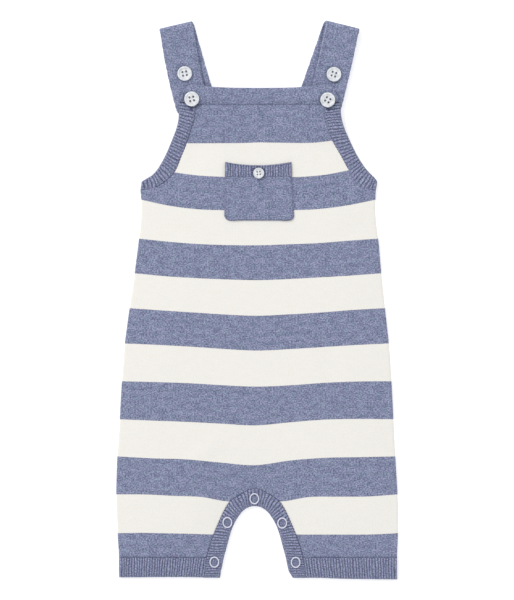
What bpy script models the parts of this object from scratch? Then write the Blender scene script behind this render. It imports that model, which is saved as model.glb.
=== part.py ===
"""A baby's striped knitted romper with dungaree straps, laid flat on its back.

The pieces are those a maker cuts and sews: a front and a back in striped jersey,
a doubled hem across the bib, ribbed bands round the armholes, two straps folded
at the shoulder, a patch pocket with a ribbed top, ribbed leg cuffs, a ribbed band
round the crotch opening on the front and on the back, five buttons and five rings
of press studs.  Every cloth piece is a wall between an outer and an inner surface.

Frame: metres.  +X is the picture's right, +Y runs from the leg hems to the straps,
+Z comes up out of the cloth.  The origin is under the middle of the outline, on
the surface that the romper lies on.  Sizes below are millimetres.
"""

from collections import namedtuple
from math import cos, hypot, pi, radians, sin, sqrt, tan

import bmesh
import bpy
import numpy as np

MM = 0.001

# ---- cloth -------------------------------------------------------------------------------
JERSEY = 1.5  # wall of the plain knit
RIB_BASE = 1.5  # wall of the ribbed knit in a furrow
RIB_RISE = 0.6  # how far a rib stands over its furrow
BAND_CROWN = 0.3  # a ribbed band is this much fuller along its middle
HEM_WALL = 2.8  # the bib hem, two layers turned onto each other
STRAP_WALL = 2.5
GAP = 0.3  # between pieces that meet
LAP = JERSEY + GAP  # the front layer's lowest inner surface
CROWN = 1.9  # how far the front stands off the back in the middle
CROWN_REACH = 45.0  # distance from a side seam over which it rises
ARCH_REACH = 34.0  # the same from the crotch opening and the cuffs
BIB_CROWN = 0.45  # share of the crown that is left at the bib
BIB_FADE = (100.0, 140.0)  # heights between which the crown falls to that share
CENTRE = (0.1, -0.47)  # middle of the finished outline in these tables

# ---- outline: half widths from the middle line, by height on the garment -----------------
LEAN = (  # height, shift of the middle line: the romper lies a little askew
    (232.0, 1.5),
    (160.0, 2.2),
    (145.0, 2.8),
    (127.0, 3.3),
    (110.0, 3.9),
    (102.5, 4.0),
    (97.0, 1.7),
    (84.0, 1.1),
    (45.0, 1.3),
    (28.0, 0.9),
    (-16.0, 0.1),
    (-94.0, -0.3),
    (-156.0, -0.3),
    (-171.0, 0.1),
    (-197.0, 0.7),
    (-232.0, 1.0),
)
SIDE_SEAM = (  # height, half width
    (90.8, 97.8),
    (84.0, 97.3),
    (72.0, 97.3),
    (45.0, 100.0),
    (28.0, 101.8),
    (-16.0, 107.2),
    (-34.0, 109.4),
    (-75.0, 112.4),
    (-94.0, 113.4),
    (-135.0, 115.7),
    (-171.0, 117.0),
    (-197.0, 116.3),
    (-215.0, 115.4),
    (-233.0, 115.5),
)
ARMHOLE_SEAM = (  # height, half width: where the jersey ends and the rib begins
    (160.0, 53.0),
    (153.0, 54.0),
    (148.0, 55.2),
    (138.7, 58.7),
    (130.8, 61.4),
    (118.4, 66.8),
    (106.8, 72.3),
    (100.1, 77.0),
    (94.3, 83.3),
    (91.7, 90.5),
    (90.8, 97.8),
)
ARMHOLE_EDGE = (  # height, half width: the rib's free edge
    (163.5, 66.9),
    (153.5, 67.4),
    (150.4, 67.7),
    (145.4, 68.8),
    (140.4, 70.4),
    (135.4, 72.5),
    (127.0, 76.2),
    (120.5, 79.3),
    (113.8, 83.1),
    (107.2, 87.7),
    (103.9, 90.8),
    (100.6, 95.0),
    (98.1, 97.9),
)
CROTCH_X = -1.8  # middle of the crotch opening
ARCH_TOP = -156.7
ARCH_SEAM = (  # depth under the top of the arch, half width: jersey to rib
    (0.0, 0.0),
    (0.7, 4.2),
    (3.6, 9.3),
    (11.0, 20.6),
    (18.8, 25.5),
    (27.6, 29.6),
    (38.1, 34.0),
    (55.2, 39.5),
    (74.5, 42.8),
)
CROTCH_EDGE = (  # height, half width: the crotch band's free edge
    (-171.5, 0.0),
    (-172.1, 4.2),
    (-175.1, 9.4),
    (-180.0, 13.5),
    (-185.5, 16.8),
    (-195.0, 20.5),
    (-204.5, 23.0),
    (-213.5, 25.5),
    (-226.0, 28.3),
    (-231.0, 30.2),
)
CUFF_SEAM = -214.4
LEG_HEM = (  # place across the garment, height of the cuff's free edge
    (-115.0, -230.7),
    (-45.0, -230.8),
    (-35.0, -231.2),
    (32.0, -231.4),
    (45.0, -231.0),
    (70.0, -231.8),
    (115.0, -232.4),
)
HEM_SHARES = (0.0, 0.35, 0.7, 1.0)  # where the cuff's free edge is read
BIB_SEAM = 162.0
BACK_NECK = 169.9  # top of the back, behind the bib

# ---- knitted courses: the rows that the stripes follow -----------------------------------
# end_y and middle_y are a row's heights at the seam and on the middle line,
# steps the rows from it to the next, yarn the colour below it
BLUE, CREAM = 0, 1
Course = namedtuple("Course", "end_y middle_y steps yarn")
COURSES = (
    Course(BIB_SEAM, BIB_SEAM, 4, BLUE),
    Course(130.5, 130.9, 4, CREAM),
    Course(105.9, 101.6, 2, BLUE),
    Course(94.3, 90.6, 1, BLUE),
    Course(91.7, 87.3, 1, BLUE),
    Course(90.8, 84.4, 1, BLUE),
    Course(83.1, 74.0, 3, CREAM),
    Course(50.8, 45.2, 3, BLUE),
    Course(22.0, 16.3, 3, CREAM),
    Course(-6.9, -13.2, 3, BLUE),
    Course(-36.2, -42.1, 3, CREAM),
    Course(-67.6, -72.0, 3, BLUE),
    Course(-99.2, -104.2, 3, CREAM),
    Course(-130.0, -137.2, 2, BLUE),
    Course(-150.5, ARCH_TOP, 0, BLUE),
)
# the same on the legs, where middle_y is the height at the crotch arch
LEG_COURSES = (
    Course(-150.5, ARCH_TOP, 4, BLUE),
    Course(-161.5, -167.4, 4, CREAM),
    Course(-193.7, -194.8, 3, BLUE),
    Course(CUFF_SEAM, CUFF_SEAM, 0, BLUE),
)
HALF_COLUMNS = 8  # grid cells from the middle line to a seam on the front
BACK_COLUMNS = 4

# ---- folds: soft ridges and troughs of the front layer -----------------------------------
Fold = namedtuple("Fold", "x y turn length width rise")
FOLDS = (
    Fold(-52.0, 122.0, 62.0, 26.0, 13.0, -0.45),
    Fold(50.0, 126.0, 112.0, 24.0, 12.0, -0.40),
    Fold(2.0, 122.0, 2.0, 30.0, 8.0, -0.35),
    Fold(-74.0, 62.0, -28.0, 34.0, 13.0, -0.40),
    Fold(80.0, 58.0, 34.0, 30.0, 13.0, -0.45),
    Fold(-66.0, -24.0, 76.0, 48.0, 16.0, 0.40),
    Fold(60.0, -52.0, 98.0, 44.0, 15.0, -0.40),
    Fold(-46.0, -128.0, 38.0, 34.0, 12.0, 0.45),
    Fold(42.0, -126.0, -42.0, 30.0, 12.0, 0.40),
)

# ---- ribs --------------------------------------------------------------------------------
ARMHOLE_RIBS = 31
CROTCH_RIBS = 70
CUFF_RIBS = 34
ARMHOLE_DRIFT = 0.045  # how far the ribs' seam ends lag on the seam, as a share of it
CROTCH_DRIFT = 0.05
POCKET_RIBS = 25
PLAIN_STATIONS = 12  # sections of a band whose ribs lie on the surface below

# ---- bib hem: a row for each section, from the middle to the corner ----------------------
HemSection = namedtuple("HemSection", "top_x top_y bottom_x bottom_y")
BIB_HEM = (
    HemSection(0.0, 175.8, 0.0, 162.3),
    HemSection(12.0, 175.9, 12.0, 162.3),
    HemSection(24.0, 176.0, 24.0, 162.3),
    HemSection(34.0, 176.3, 34.0, 162.3),
    HemSection(42.0, 176.9, 42.0, 162.3),
    HemSection(49.0, 178.0, 49.0, 162.3),
    HemSection(54.5, 178.6, 54.0, 162.5),
    HemSection(58.8, 177.8, 58.5, 163.0),
    HemSection(61.4, 175.6, 63.0, 163.5),
    HemSection(63.6, 171.8, 66.9, 163.9),
)

# ---- straps ------------------------------------------------------------------------------
# corner_x, corner_y: outer corner of the fold.  Degrees: the slants of the front and
# the back half from the middle line, the tilt of the fold.  Skew: how much further in
# the back half leaves the fold.  Bow: how far the front half curves outward
Strap = namedtuple("Strap", "side corner_x corner_y width front_slant back_slant tilt skew bow")
STRAPS = {
    "left": Strap(-1, 81.3, 224.9, 28.0, 11.9, 15.9, 13.1, 1.0, 1.1),
    "right": Strap(1, 85.4, 225.0, 28.4, 13.0, 19.2, 13.8, 2.1, 0.4),
}
FOLD_RADIUS = 1.95  # of the strap's middle surface
STRAP_END = 153.0  # height of the front end's outer corner
STRAP_SEAT = STRAP_WALL + GAP  # underside of the front half, on the back half
STRAP_END_SEAT = LAP + 0.1
FRONT_STATIONS, FOLD_STATIONS, BACK_STATIONS = 12, 8, 7
LIFT_LENGTH = 26.0  # the stretch beside the fold over which the halves part
EDGE_SHARE = 0.09  # share of the width over which an edge thins
EDGE_WALL = 0.55  # an edge's wall, as a share of the full wall
COVER_FLAT = 9.0  # the bib stays lifted this far beyond the strap
COVER_FADE = 20.0  # and comes down over this

# ---- pocket ------------------------------------------------------------------------------
POCKET_X = 1.1
POCKET_TOP = (114.3, 111.5)  # height of the opening at its ends and its middle
POCKET_SEAM = 101.8
POCKET_BOTTOM = 65.6
POCKET_HALF = (27.4, 27.7, 29.2)  # half widths at the opening, the seam, the bottom
POCKET_LEAN = 0.9  # the bottom lies this far to the right
POCKET_CORNER = 4.5  # radius
POCKET_COLUMNS = 9

# ---- buttons and press studs -------------------------------------------------------------
Button = namedtuple("Button", "name x y turn diameter")
BUTTONS = (
    Button("button_upper_left", -60.0, 187.5, 11.0, 12.2),
    Button("button_lower_left", -54.1, 166.3, 12.0, 12.4),
    Button("button_upper_right", 63.8, 186.9, -18.0, 12.2),
    Button("button_lower_right", 58.6, 165.5, -29.0, 12.4),
    Button("button_pocket", 1.4, 104.9, 6.0, 9.0),
)
BUTTON_PROFILE = (  # radius, height, as shares of the radius: axis to rim to axis
    (0.0, 0.25),
    (0.58, 0.27),
    (0.72, 0.37),
    (0.87, 0.38),
    (1.0, 0.24),
    (0.96, 0.08),
    (0.78, 0.0),
    (0.0, 0.0),
)
BUTTON_SIDES = 24
SEAT_POINTS = 12  # places round a button or ring where what carries it is read
HOLE_RADIUS = 0.12  # shares of the button's radius
HOLE_PITCH = 0.25
HOLE_SIDES = 8
DRILL_LENGTH = 20.0
RING_DIAMETER = 9.4  # outer
RING_WIRE = 1.0
RING_SEGMENTS, WIRE_SEGMENTS = 20, 6
RINGS = (  # x, height of each ring's centre
    (-35.4, -217.8),
    (-24.6, -184.9),
    (-2.2, -165.2),
    (20.9, -185.4),
    (32.1, -218.0),
)

# ---- colours: linear red, green, blue; roughness -----------------------------------------
PAINTS = {
    "blue_jersey": ((0.235, 0.258, 0.381), 0.92),
    "cream_jersey": ((0.880, 0.855, 0.812), 0.92),
    "blue_rib": ((0.208, 0.222, 0.344), 0.94),
    "pearl_plastic": ((0.870, 0.880, 0.865), 0.32),
    "white_enamel": ((0.860, 0.870, 0.920), 0.38),
}


# ---- small tools -------------------------------------------------------------------------
def paint(name):
    """The Principled material of that name."""
    if name in bpy.data.materials:
        return bpy.data.materials[name]
    colour, roughness = PAINTS[name]
    material = bpy.data.materials.new(name)
    material.diffuse_color = (*colour, 1.0)
    material.use_nodes = True
    shader = material.node_tree.nodes["Principled BSDF"]
    shader.inputs["Base Color"].default_value = (*colour, 1.0)
    shader.inputs["Roughness"].default_value = roughness
    shader.inputs["Metallic"].default_value = 0.0
    return material


def read(table, key):
    """The second column of a table at a value of its first, in either order."""
    rows = sorted(table)
    return float(np.interp(key, [row[0] for row in rows], [row[1] for row in rows]))


def ease(share):
    """0 to 1 with a round shoulder, flat from 1 on."""
    share = min(max(share, 0.0), 1.0)
    return 1.0 - (1.0 - share) ** 2


def fade(share):
    """1 at 0, 0 from 1 on, level at both ends."""
    share = min(max(share, 0.0), 1.0)
    return 1.0 - share * share * (3.0 - 2.0 * share)


def mix(a, b, share):
    """Between two points."""
    return tuple(p + (q - p) * share for p, q in zip(a, b))


def lengths(line):
    """Distance along a line of plan points, at each of them."""
    steps = [hypot(b[0] - a[0], b[1] - a[1]) for a, b in zip(line, line[1:])]
    return np.concatenate([[0.0], np.cumsum(steps)])


def spread(line, count, drift=0.0, waves=1):
    """count + 1 points along a line: evenly spaced, or drifting back in half waves."""
    run = lengths(line)
    share = np.linspace(0.0, 1.0, count + 1)
    places = run[-1] * (share - drift * np.sin(waves * pi * share))
    xs = np.interp(places, run, [p[0] for p in line])
    ys = np.interp(places, run, [p[1] for p in line])
    return list(zip(xs.tolist(), ys.tolist()))


def shifted(line, distance):
    """A line moved sideways, to the left of its own direction."""
    moved = []
    for i, (x, y) in enumerate(line):
        ahead, behind = line[min(i + 1, len(line) - 1)], line[max(i - 1, 0)]
        dx, dy = ahead[0] - behind[0], ahead[1] - behind[1]
        size = hypot(dx, dy)
        moved.append((x - dy / size * distance, y + dx / size * distance))
    return moved


# ---- the garment's outline ---------------------------------------------------------------
def half_width(y):
    """From the middle line to the armhole seam or the side seam."""
    table = ARMHOLE_SEAM if y > SIDE_SEAM[0][0] else SIDE_SEAM
    return read(table, y)


def seam_x(side, y):
    return read(LEAN, y) + side * half_width(y)


def arch_half(y):
    """Half width of the crotch arch, rounder than straight steps near its top."""
    depth = max(ARCH_TOP - y, 0.0)
    return read([(sqrt(row[0]), row[1]) for row in ARCH_SEAM], sqrt(depth))


def arch_x(side, y):
    return CROTCH_X + side * arch_half(y)


# ---- heights of the front layer ----------------------------------------------------------
def strap_beside(x, y):
    """How far a place lies beside the nearer strap's front half."""
    strip = STRAPS["right" if x > 0.0 else "left"]
    slant = radians(strip.front_slant)
    edge = strip.corner_x - (strip.corner_y - y) * tan(slant)
    half = strip.width / 2 / cos(slant)
    return abs(abs(x) - edge + half) - half


def strap_seat(y):
    """Underside of a strap's front half: on its back half, then down onto the back."""
    return float(np.interp(y, (STRAP_END, BACK_NECK), (STRAP_END_SEAT, STRAP_SEAT)))


def crown(x, y):
    """Share of the full crown, 0 at every seam."""
    side = (half_width(y) - abs(x - read(LEAN, y))) / CROWN_REACH
    if y > ARCH_TOP:
        arch = hypot(x - CROTCH_X, y - ARCH_TOP) / ARCH_REACH
    else:
        arch = (abs(x - CROTCH_X) - arch_half(y)) / ARCH_REACH
    cuff = (y - CUFF_SEAM) / ARCH_REACH
    bib = float(np.interp(y, BIB_FADE, (1.0, BIB_CROWN)))
    return ease(side) * ease(arch) * ease(cuff) * bib


def folds(x, y):
    """Sum of the soft folds at a place."""
    rise = 0.0
    for fold in FOLDS:
        turn = radians(fold.turn)
        along = (x - fold.x) * cos(turn) + (y - fold.y) * sin(turn)
        across = (y - fold.y) * cos(turn) - (x - fold.x) * sin(turn)
        rise += fold.rise * fade(abs(along) / fold.length) * fade(abs(across) / fold.width)
    return rise


def strap_cover(x, y):
    """1 where the bib lies on a strap, fading to 0 around it."""
    beside = strap_beside(x, y) - COVER_FLAT
    below = STRAP_END - COVER_FLAT - y
    return fade(beside / COVER_FADE) * fade(below / COVER_FADE)


def inner(x, y):
    """Height of the front layer's inner surface."""
    share = crown(x, y)
    plain = LAP + CROWN * share + folds(x, y) * share
    on_strap = strap_seat(y) + STRAP_WALL + GAP
    return plain + max(on_strap - plain, 0.0) * strap_cover(x, y)


def outer(x, y):
    """Height of the front panel's outer surface."""
    return inner(x, y) + JERSEY


# ---- building ----------------------------------------------------------------------------
def wall(name, patches, paints, yarns=None):
    """A closed wall of cloth.  Each patch is a grid of rows of (x, y, outer, inner)
    points; patches that share points are one cloth.  yarns holds, for each patch,
    the paint's index for each row of its faces."""
    places, faces, owners = {}, [], {}

    def index(point):
        key = (round(point[0], 4), round(point[1], 4))
        return places.setdefault(key, (len(places), point))[0]

    for number, rows in enumerate(patches):
        for r, (upper, lower) in enumerate(zip(rows, rows[1:])):
            for c in range(len(upper) - 1):
                loop = [index(p) for p in (lower[c], lower[c + 1], upper[c + 1], upper[c])]
                loop = [v for i, v in enumerate(loop) if v != loop[i - 1]]
                faces.append((loop, yarns[number][r] if yarns else 0))
                for a, b in zip(loop, loop[1:] + loop[:1]):
                    owners[a, b] = owners.get((a, b), 0) + 1

    mesh = bmesh.new()
    points = [point for _, point in places.values()]
    over = [mesh.verts.new((x * MM, y * MM, z * MM)) for x, y, z, _ in points]
    under = [mesh.verts.new((x * MM, y * MM, z * MM)) for x, y, _, z in points]
    for loop, yarn in faces:
        mesh.faces.new([over[v] for v in loop]).material_index = yarn
        mesh.faces.new([under[v] for v in reversed(loop)]).material_index = yarn
        for a, b in zip(loop, loop[1:] + loop[:1]):
            if (b, a) not in owners:
                rim = mesh.faces.new((over[b], over[a], under[a], under[b]))
                rim.material_index = yarn
    return place(name, mesh, paints)


def place(name, mesh, paints):
    """Turns a bmesh into a named object with its materials."""
    bmesh.ops.recalc_face_normals(mesh, faces=mesh.faces)
    data = bpy.data.meshes.new(name)
    mesh.to_mesh(data)
    mesh.free()
    for paint_name in paints:
        data.materials.append(paint(paint_name))
    thing = bpy.data.objects.new(name, data)
    garment.objects.link(thing)
    return thing


def band(name, seam, edge, ribs, seat=inner, plain=False, drift=0.0, waves=1):
    """A ribbed band between its seam line and its free edge, the ribs across it.
    The outer points rise and fall, the inner ones are plain.  A plain band lies
    on the surface below, with its ribs against it."""
    count = PLAIN_STATIONS if plain else 2 * ribs
    rows = []
    seam_ends = spread(seam, count, drift, waves)
    for i, (a, b) in enumerate(zip(seam_ends, spread(edge, count))):
        row = []
        for share in (0.0, 0.5, 1.0):
            x, y = mix(a, b, share)
            if plain:
                row.append((x, y, RIB_BASE, 0.0))
                continue
            low = seat(x, y)
            full = BAND_CROWN if share == 0.5 else 0.0
            row.append((x, y, low + RIB_BASE + full + RIB_RISE * (i % 2), low))
        rows.append(row)
    return wall(name, [rows], ["blue_rib"])


# ---- the panels --------------------------------------------------------------------------
def steps_between(rows, curve=1.0):
    """Each row's heights, and the yarn below it, with the steps in between."""
    for this, following in zip(rows, rows[1:]):
        for step in range(this.steps):
            share = step / this.steps
            yield (
                this.end_y + (following.end_y - this.end_y) * share,
                this.middle_y + (following.middle_y - this.middle_y) * share**curve,
                this.yarn,
            )
    yield rows[-1].end_y, rows[-1].middle_y, rows[-1].yarn


def torso_rows(columns, top):
    """Plan points of the courses from the top row to the crotch."""
    rows, yarns = [], []
    courses = [(top, top, BLUE)] if top > BIB_SEAM else []
    for end_y, middle_y, yarn in courses + list(steps_between(COURSES)):
        row = []
        for column in range(-columns, columns + 1):
            share = column / columns
            y = middle_y + (end_y - middle_y) * share * share
            edge = seam_x(1 if column > 0 else -1, end_y)
            middle = read(LEAN, middle_y)
            if middle_y < 0.0:
                middle += (CROTCH_X - middle) * (middle_y / ARCH_TOP)
            row.append((middle + (edge - middle) * abs(share), y))
        rows.append(row)
        yarns.append(yarn)
    return rows, yarns


def leg_rows(side, columns):
    """Plan points of one leg's courses, in the direction of +X."""
    rows, yarns = [], []
    for number, course in enumerate(LEG_COURSES[:-1]):
        curve = 2.0 if number == 0 else 1.0
        pair = LEG_COURSES[number : number + 2]
        last = number == len(LEG_COURSES) - 2
        for end_y, arch_y, _ in list(steps_between(pair, curve))[: None if last else -1]:
            row = []
            for column in range(columns + 1):
                share = column / columns
                y = arch_y + (end_y - arch_y) * share * share
                x = arch_x(side, arch_y) * (1 - share) + seam_x(side, end_y) * share
                row.append((x, y))
            rows.append(row if side > 0 else row[::-1])
            yarns.append(course.yarn)
    return rows, yarns


def body(name, columns, top, height, depth):
    """A front or back panel: the torso and, split by the arch, two legs."""
    patches, colours = [], []
    torso, yarns = torso_rows(columns, top)
    for rows, row_yarns in (torso, yarns), leg_rows(-1, columns), leg_rows(1, columns):
        patches.append([[(x, y, height(x, y), depth(x, y)) for x, y in row] for row in rows])
        colours.append(row_yarns)
    return wall(name, patches, ["blue_jersey", "cream_jersey"], colours)


def armhole_line(side):
    """The body's own corners along one armhole seam, from the bib to the underarm."""
    ends = [end_y for end_y, _, _ in steps_between(COURSES) if end_y >= SIDE_SEAM[0][0]]
    return [(seam_x(side, y), y) for y in ends]


def arch_line(side):
    """The body's own corners down one side of the arch, and on to the hem."""
    rows, _ = leg_rows(side, 1)
    line = [row[0] if side > 0 else row[-1] for row in rows]
    hem = read(LEG_HEM, line[-1][0])
    return line + [(arch_x(side, hem), hem)]


def edge_line(table, side):
    """A free edge's points on one side."""
    return [(read(LEAN, y) + side * half, y) for y, half in table]


# ---- the sewn-on pieces ------------------------------------------------------------------
def bib_hem():
    """The turned hem, from one corner of the bib to the other."""
    sections = [(-1, section) for section in BIB_HEM[:0:-1]] + [(1, s) for s in BIB_HEM]
    rows = []
    for share in (0.0, 0.5, 1.0):
        row = []
        for side, section in sections:
            x, y = mix(section[:2], section[2:], share)
            x = read(LEAN, y) + side * x
            row.append((x, y, inner(x, y) + HEM_WALL, inner(x, y)))
        rows.append(row)
    return wall("bib_hem", [rows], ["blue_jersey"])


def armhole_bands():
    for side, word in (-1, "left"), (1, "right"):
        seam = shifted(armhole_line(side), side * GAP)
        edge = edge_line(ARMHOLE_EDGE, side)
        front = "armhole_band_front_" + word
        band(front, seam, edge, ARMHOLE_RIBS, drift=ARMHOLE_DRIFT)
        top = BACK_NECK
        seam = [(seam[0][0], top)] + seam
        edge = [(edge[0][0], top)] + edge
        band("armhole_band_back_" + word, seam, edge, ARMHOLE_RIBS, plain=True)


def crotch_bands():
    """One band up the left leg, over the arch and down the right leg."""
    left = shifted(arch_line(-1), GAP)
    right = shifted(arch_line(1), -GAP)
    seam = left[:0:-1] + [(CROTCH_X, ARCH_TOP - GAP)] + right[1:]
    half = [(CROTCH_X + x, y) for y, x in CROTCH_EDGE]
    edge = [(2 * CROTCH_X - x, y) for x, y in half[:0:-1]] + half
    band("crotch_band_front", seam, edge, CROTCH_RIBS, drift=CROTCH_DRIFT, waves=2)
    band("crotch_band_back", seam, edge, CROTCH_RIBS, plain=True)


def cuffs():
    for side, word in (-1, "left"), (1, "right"):
        line = arch_line(side)
        top = CUFF_SEAM - GAP
        inside = [x + side * GAP for x, _ in line[-2:]]
        seam = [(inside[0], top), (seam_x(side, top), top)]
        outside = seam_x(side, line[-1][1])
        hem = []
        for share in HEM_SHARES:
            x = inside[1] + (outside - inside[1]) * share
            hem.append((x, read(LEG_HEM, x)))
        band("cuff_front_" + word, seam, hem, CUFF_RIBS)
        band("cuff_back_" + word, seam, hem, CUFF_RIBS, plain=True)


def strap(word, strip):
    """A knitted strap: its front half, the fold at the shoulder, its back half."""
    front, back, tilt = (radians(a) for a in (strip.front_slant, strip.back_slant, strip.tilt))
    bulge = FOLD_RADIUS + STRAP_WALL / 2
    out = (sin(tilt), cos(tilt))  # from the fold's axis to its outside, in plan
    corner = (strip.corner_x - out[0] * bulge, strip.corner_y - out[1] * bulge)
    across = (-cos(tilt) * strip.width, sin(tilt) * strip.width)
    fold = (corner, (corner[0] + across[0], corner[1] + across[1]))
    skewed = (fold[0], mix(fold[1], corner, -strip.skew / strip.width))

    def down(start, slant, height):
        return (start[0] - (start[1] - height) * tan(slant), height)

    end_rise = strip.width * sin(front)
    end = (down(fold[0], front, STRAP_END), down(fold[1], front, STRAP_END + end_rise))
    neck = BACK_NECK + GAP
    foot = (down(skewed[0], back, neck), down(skewed[1], back, neck))

    half = STRAP_WALL / 2
    low = half
    high = low + 2 * FOLD_RADIUS
    stations = []  # outer edge, inner edge, height, way the outer face looks
    for share in np.linspace(0.0, 1.0, FRONT_STATIONS):
        bow = strip.bow * 4 * share * (1.0 - share)
        pair = [mix(a, b, share) for a, b in zip(end, fold)]
        pair = [(x + bow, y) for x, y in pair]
        lift = fade((fold[0][1] - pair[0][1]) / LIFT_LENGTH)
        seat = strap_seat(pair[0][1]) + half
        stations.append((*pair, seat + (high - seat) * lift, 0.0))
    for angle in np.linspace(0.0, pi, FOLD_STATIONS)[1:-1]:
        reach = FOLD_RADIUS * sin(angle)
        pair = [mix(a, b, angle / pi) for a, b in zip(fold, skewed)]
        pair = [(x + out[0] * reach, y + out[1] * reach) for x, y in pair]
        stations.append((*pair, (low + high) / 2 + FOLD_RADIUS * cos(angle), angle))
    for share in np.linspace(0.0, 1.0, BACK_STATIONS):
        pair = [mix(a, b, share) for a, b in zip(skewed, foot)]
        stations.append((*pair, low, pi))

    mesh = bmesh.new()
    rings = []
    profile = ((0.0, EDGE_WALL), (EDGE_SHARE, 1.0), (1.0 - EDGE_SHARE, 1.0), (1.0, EDGE_WALL))
    for outside, inside, z, angle in stations:
        ring = []
        for face in (1.0, -1.0):
            for share, thick in profile[:: int(face)]:
                x, y = mix(outside, inside, share)
                reach = face * thick * half
                if angle == pi and face > 0.0:
                    reach = half  # this face rests on the surface below
                x += out[0] * sin(angle) * reach
                y += out[1] * sin(angle) * reach
                tall = z + cos(angle) * reach
                ring.append(mesh.verts.new((x * strip.side * MM, y * MM, tall * MM)))
        rings.append(ring)
    for this, following in zip(rings, rings[1:]):
        for i in range(len(this)):
            mesh.faces.new((this[i - 1], this[i], following[i], following[i - 1]))
    mesh.faces.new(rings[0])
    mesh.faces.new(rings[-1])
    return place("strap_" + word, mesh, ["blue_jersey"])


def on_front(x, y):
    """Height for a piece that lies on the front panel."""
    return outer(x, y) + GAP


def pocket():
    """The patch in jersey and its ribbed top."""

    def edge(y, half, share):
        lean = POCKET_LEAN * (POCKET_SEAM - y) / (POCKET_SEAM - POCKET_BOTTOM)
        return POCKET_X + max(lean, 0.0) + half * share

    ends, middle = POCKET_TOP
    shares = np.linspace(-1.0, 1.0, POCKET_COLUMNS)
    opening = [(edge(ends, POCKET_HALF[0], s), middle + (ends - middle) * s * s) for s in shares]
    seam = [(edge(POCKET_SEAM, POCKET_HALF[1], s), POCKET_SEAM + GAP / 2) for s in (-1.0, 1.0)]
    band("pocket_rib", seam, opening, POCKET_RIBS, seat=on_front)

    rows = []
    drop = POCKET_SEAM - GAP / 2 - POCKET_BOTTOM
    round_off = POCKET_CORNER / drop
    for depth in (0.0, 0.3, 0.6, 1.0 - round_off, 1.0 - 0.3 * round_off, 1.0):
        y = POCKET_SEAM - GAP / 2 - drop * depth
        half = POCKET_HALF[1] + (POCKET_HALF[2] - POCKET_HALF[1]) * depth
        left = max(POCKET_CORNER - (y - POCKET_BOTTOM), 0.0)
        half -= POCKET_CORNER - sqrt(POCKET_CORNER**2 - left**2)
        row = []
        for share in shares:
            x = edge(y, half, share)
            row.append((x, y, on_front(x, y) + JERSEY, on_front(x, y)))
        rows.append(row)
    wall("pocket", [rows], ["blue_jersey"])


# ---- hard pieces -------------------------------------------------------------------------
def seat_under(x, y, radius, height):
    """The highest point of a surface under a round piece."""
    places = [(x, y)]
    for i in range(SEAT_POINTS):
        turn = i * 2 * pi / SEAT_POINTS
        places.append((x + radius * cos(turn), y + radius * sin(turn)))
    return max(height(*spot) for spot in places)


def cutter(x, y, radius):
    """An upright rod to cut a thread hole with."""
    bpy.ops.mesh.primitive_cylinder_add(
        vertices=HOLE_SIDES,
        radius=radius * MM,
        depth=DRILL_LENGTH * MM,
        location=(x * MM, y * MM, 0.0),
    )
    rod = bpy.context.active_object
    for owner in list(rod.users_collection):
        owner.objects.unlink(rod)
    cutters.objects.link(rod)
    return rod


def button(which, seat):
    """A turned four-hole button: a profile spun by Screw, its holes cut through."""
    radius = which.diameter / 2
    profile = bpy.data.meshes.new(which.name)
    points = [(r * radius * MM, 0.0, z * radius * MM) for r, z in BUTTON_PROFILE]
    profile.from_pydata(points, [(i, i + 1) for i in range(len(points) - 1)], [])
    profile.materials.append(paint("pearl_plastic"))
    thing = bpy.data.objects.new(which.name, profile)
    garment.objects.link(thing)
    spin = thing.modifiers.new("turn", "SCREW")
    spin.steps = spin.render_steps = BUTTON_SIDES
    spin.use_merge_vertices = True
    spin.merge_threshold = 0.00001
    holes = bpy.data.meshes.new(which.name + "_holes")
    shape = bmesh.new()
    for i in range(4):
        turn = radians(which.turn) + pi / 4 + i * pi / 2
        reach = HOLE_PITCH * sqrt(2) * radius
        rod = cutter(reach * cos(turn), reach * sin(turn), HOLE_RADIUS * radius)
        rod.data.transform(rod.matrix_basis)
        shape.from_mesh(rod.data)
        bpy.data.objects.remove(rod)
    shape.to_mesh(holes)
    shape.free()
    rods = bpy.data.objects.new(which.name + "_holes", holes)
    cutters.objects.link(rods)
    rods.hide_render = True
    rods.display_type = "WIRE"
    drill = thing.modifiers.new("holes", "BOOLEAN")
    drill.object = rods
    drill.operation = "DIFFERENCE"
    rods.location = thing.location = (which.x * MM, which.y * MM, seat * MM)
    return thing


def ring(number, x, y):
    """The open ring of a press stud, on the front crotch band."""
    radius = RING_DIAMETER / 2
    band_top = seat_under(x, y, radius, inner) + RIB_BASE + RIB_RISE + BAND_CROWN
    height = band_top + GAP + RING_WIRE / 2
    bpy.ops.mesh.primitive_torus_add(
        location=(x * MM, y * MM, height * MM),
        major_segments=RING_SEGMENTS,
        minor_segments=WIRE_SEGMENTS,
        major_radius=(radius - RING_WIRE / 2) * MM,
        minor_radius=RING_WIRE / 2 * MM,
    )
    thing = bpy.context.active_object
    thing.name = thing.data.name = f"snap_ring_{number}"
    for owner in list(thing.users_collection):
        owner.objects.unlink(thing)
    garment.objects.link(thing)
    thing.data.materials.clear()
    thing.data.materials.append(paint("white_enamel"))
    return thing


def button_seats(which):
    """What a button lies on."""
    radius = which.diameter / 2
    if which.name == "button_pocket":
        top = seat_under(which.x, which.y, radius, on_front)
        return top + RIB_BASE + RIB_RISE + BAND_CROWN + GAP
    if "lower" in which.name:
        return seat_under(which.x, which.y, radius, inner) + HEM_WALL + GAP
    return strap_seat(which.y) + STRAP_WALL + GAP


# ---- the romper --------------------------------------------------------------------------
for old in list(bpy.data.objects):
    bpy.data.objects.remove(old)
garment = bpy.data.collections.new("romper")
cutters = bpy.data.collections.new("cutters")
for group in garment, cutters:
    bpy.context.scene.collection.children.link(group)

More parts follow.
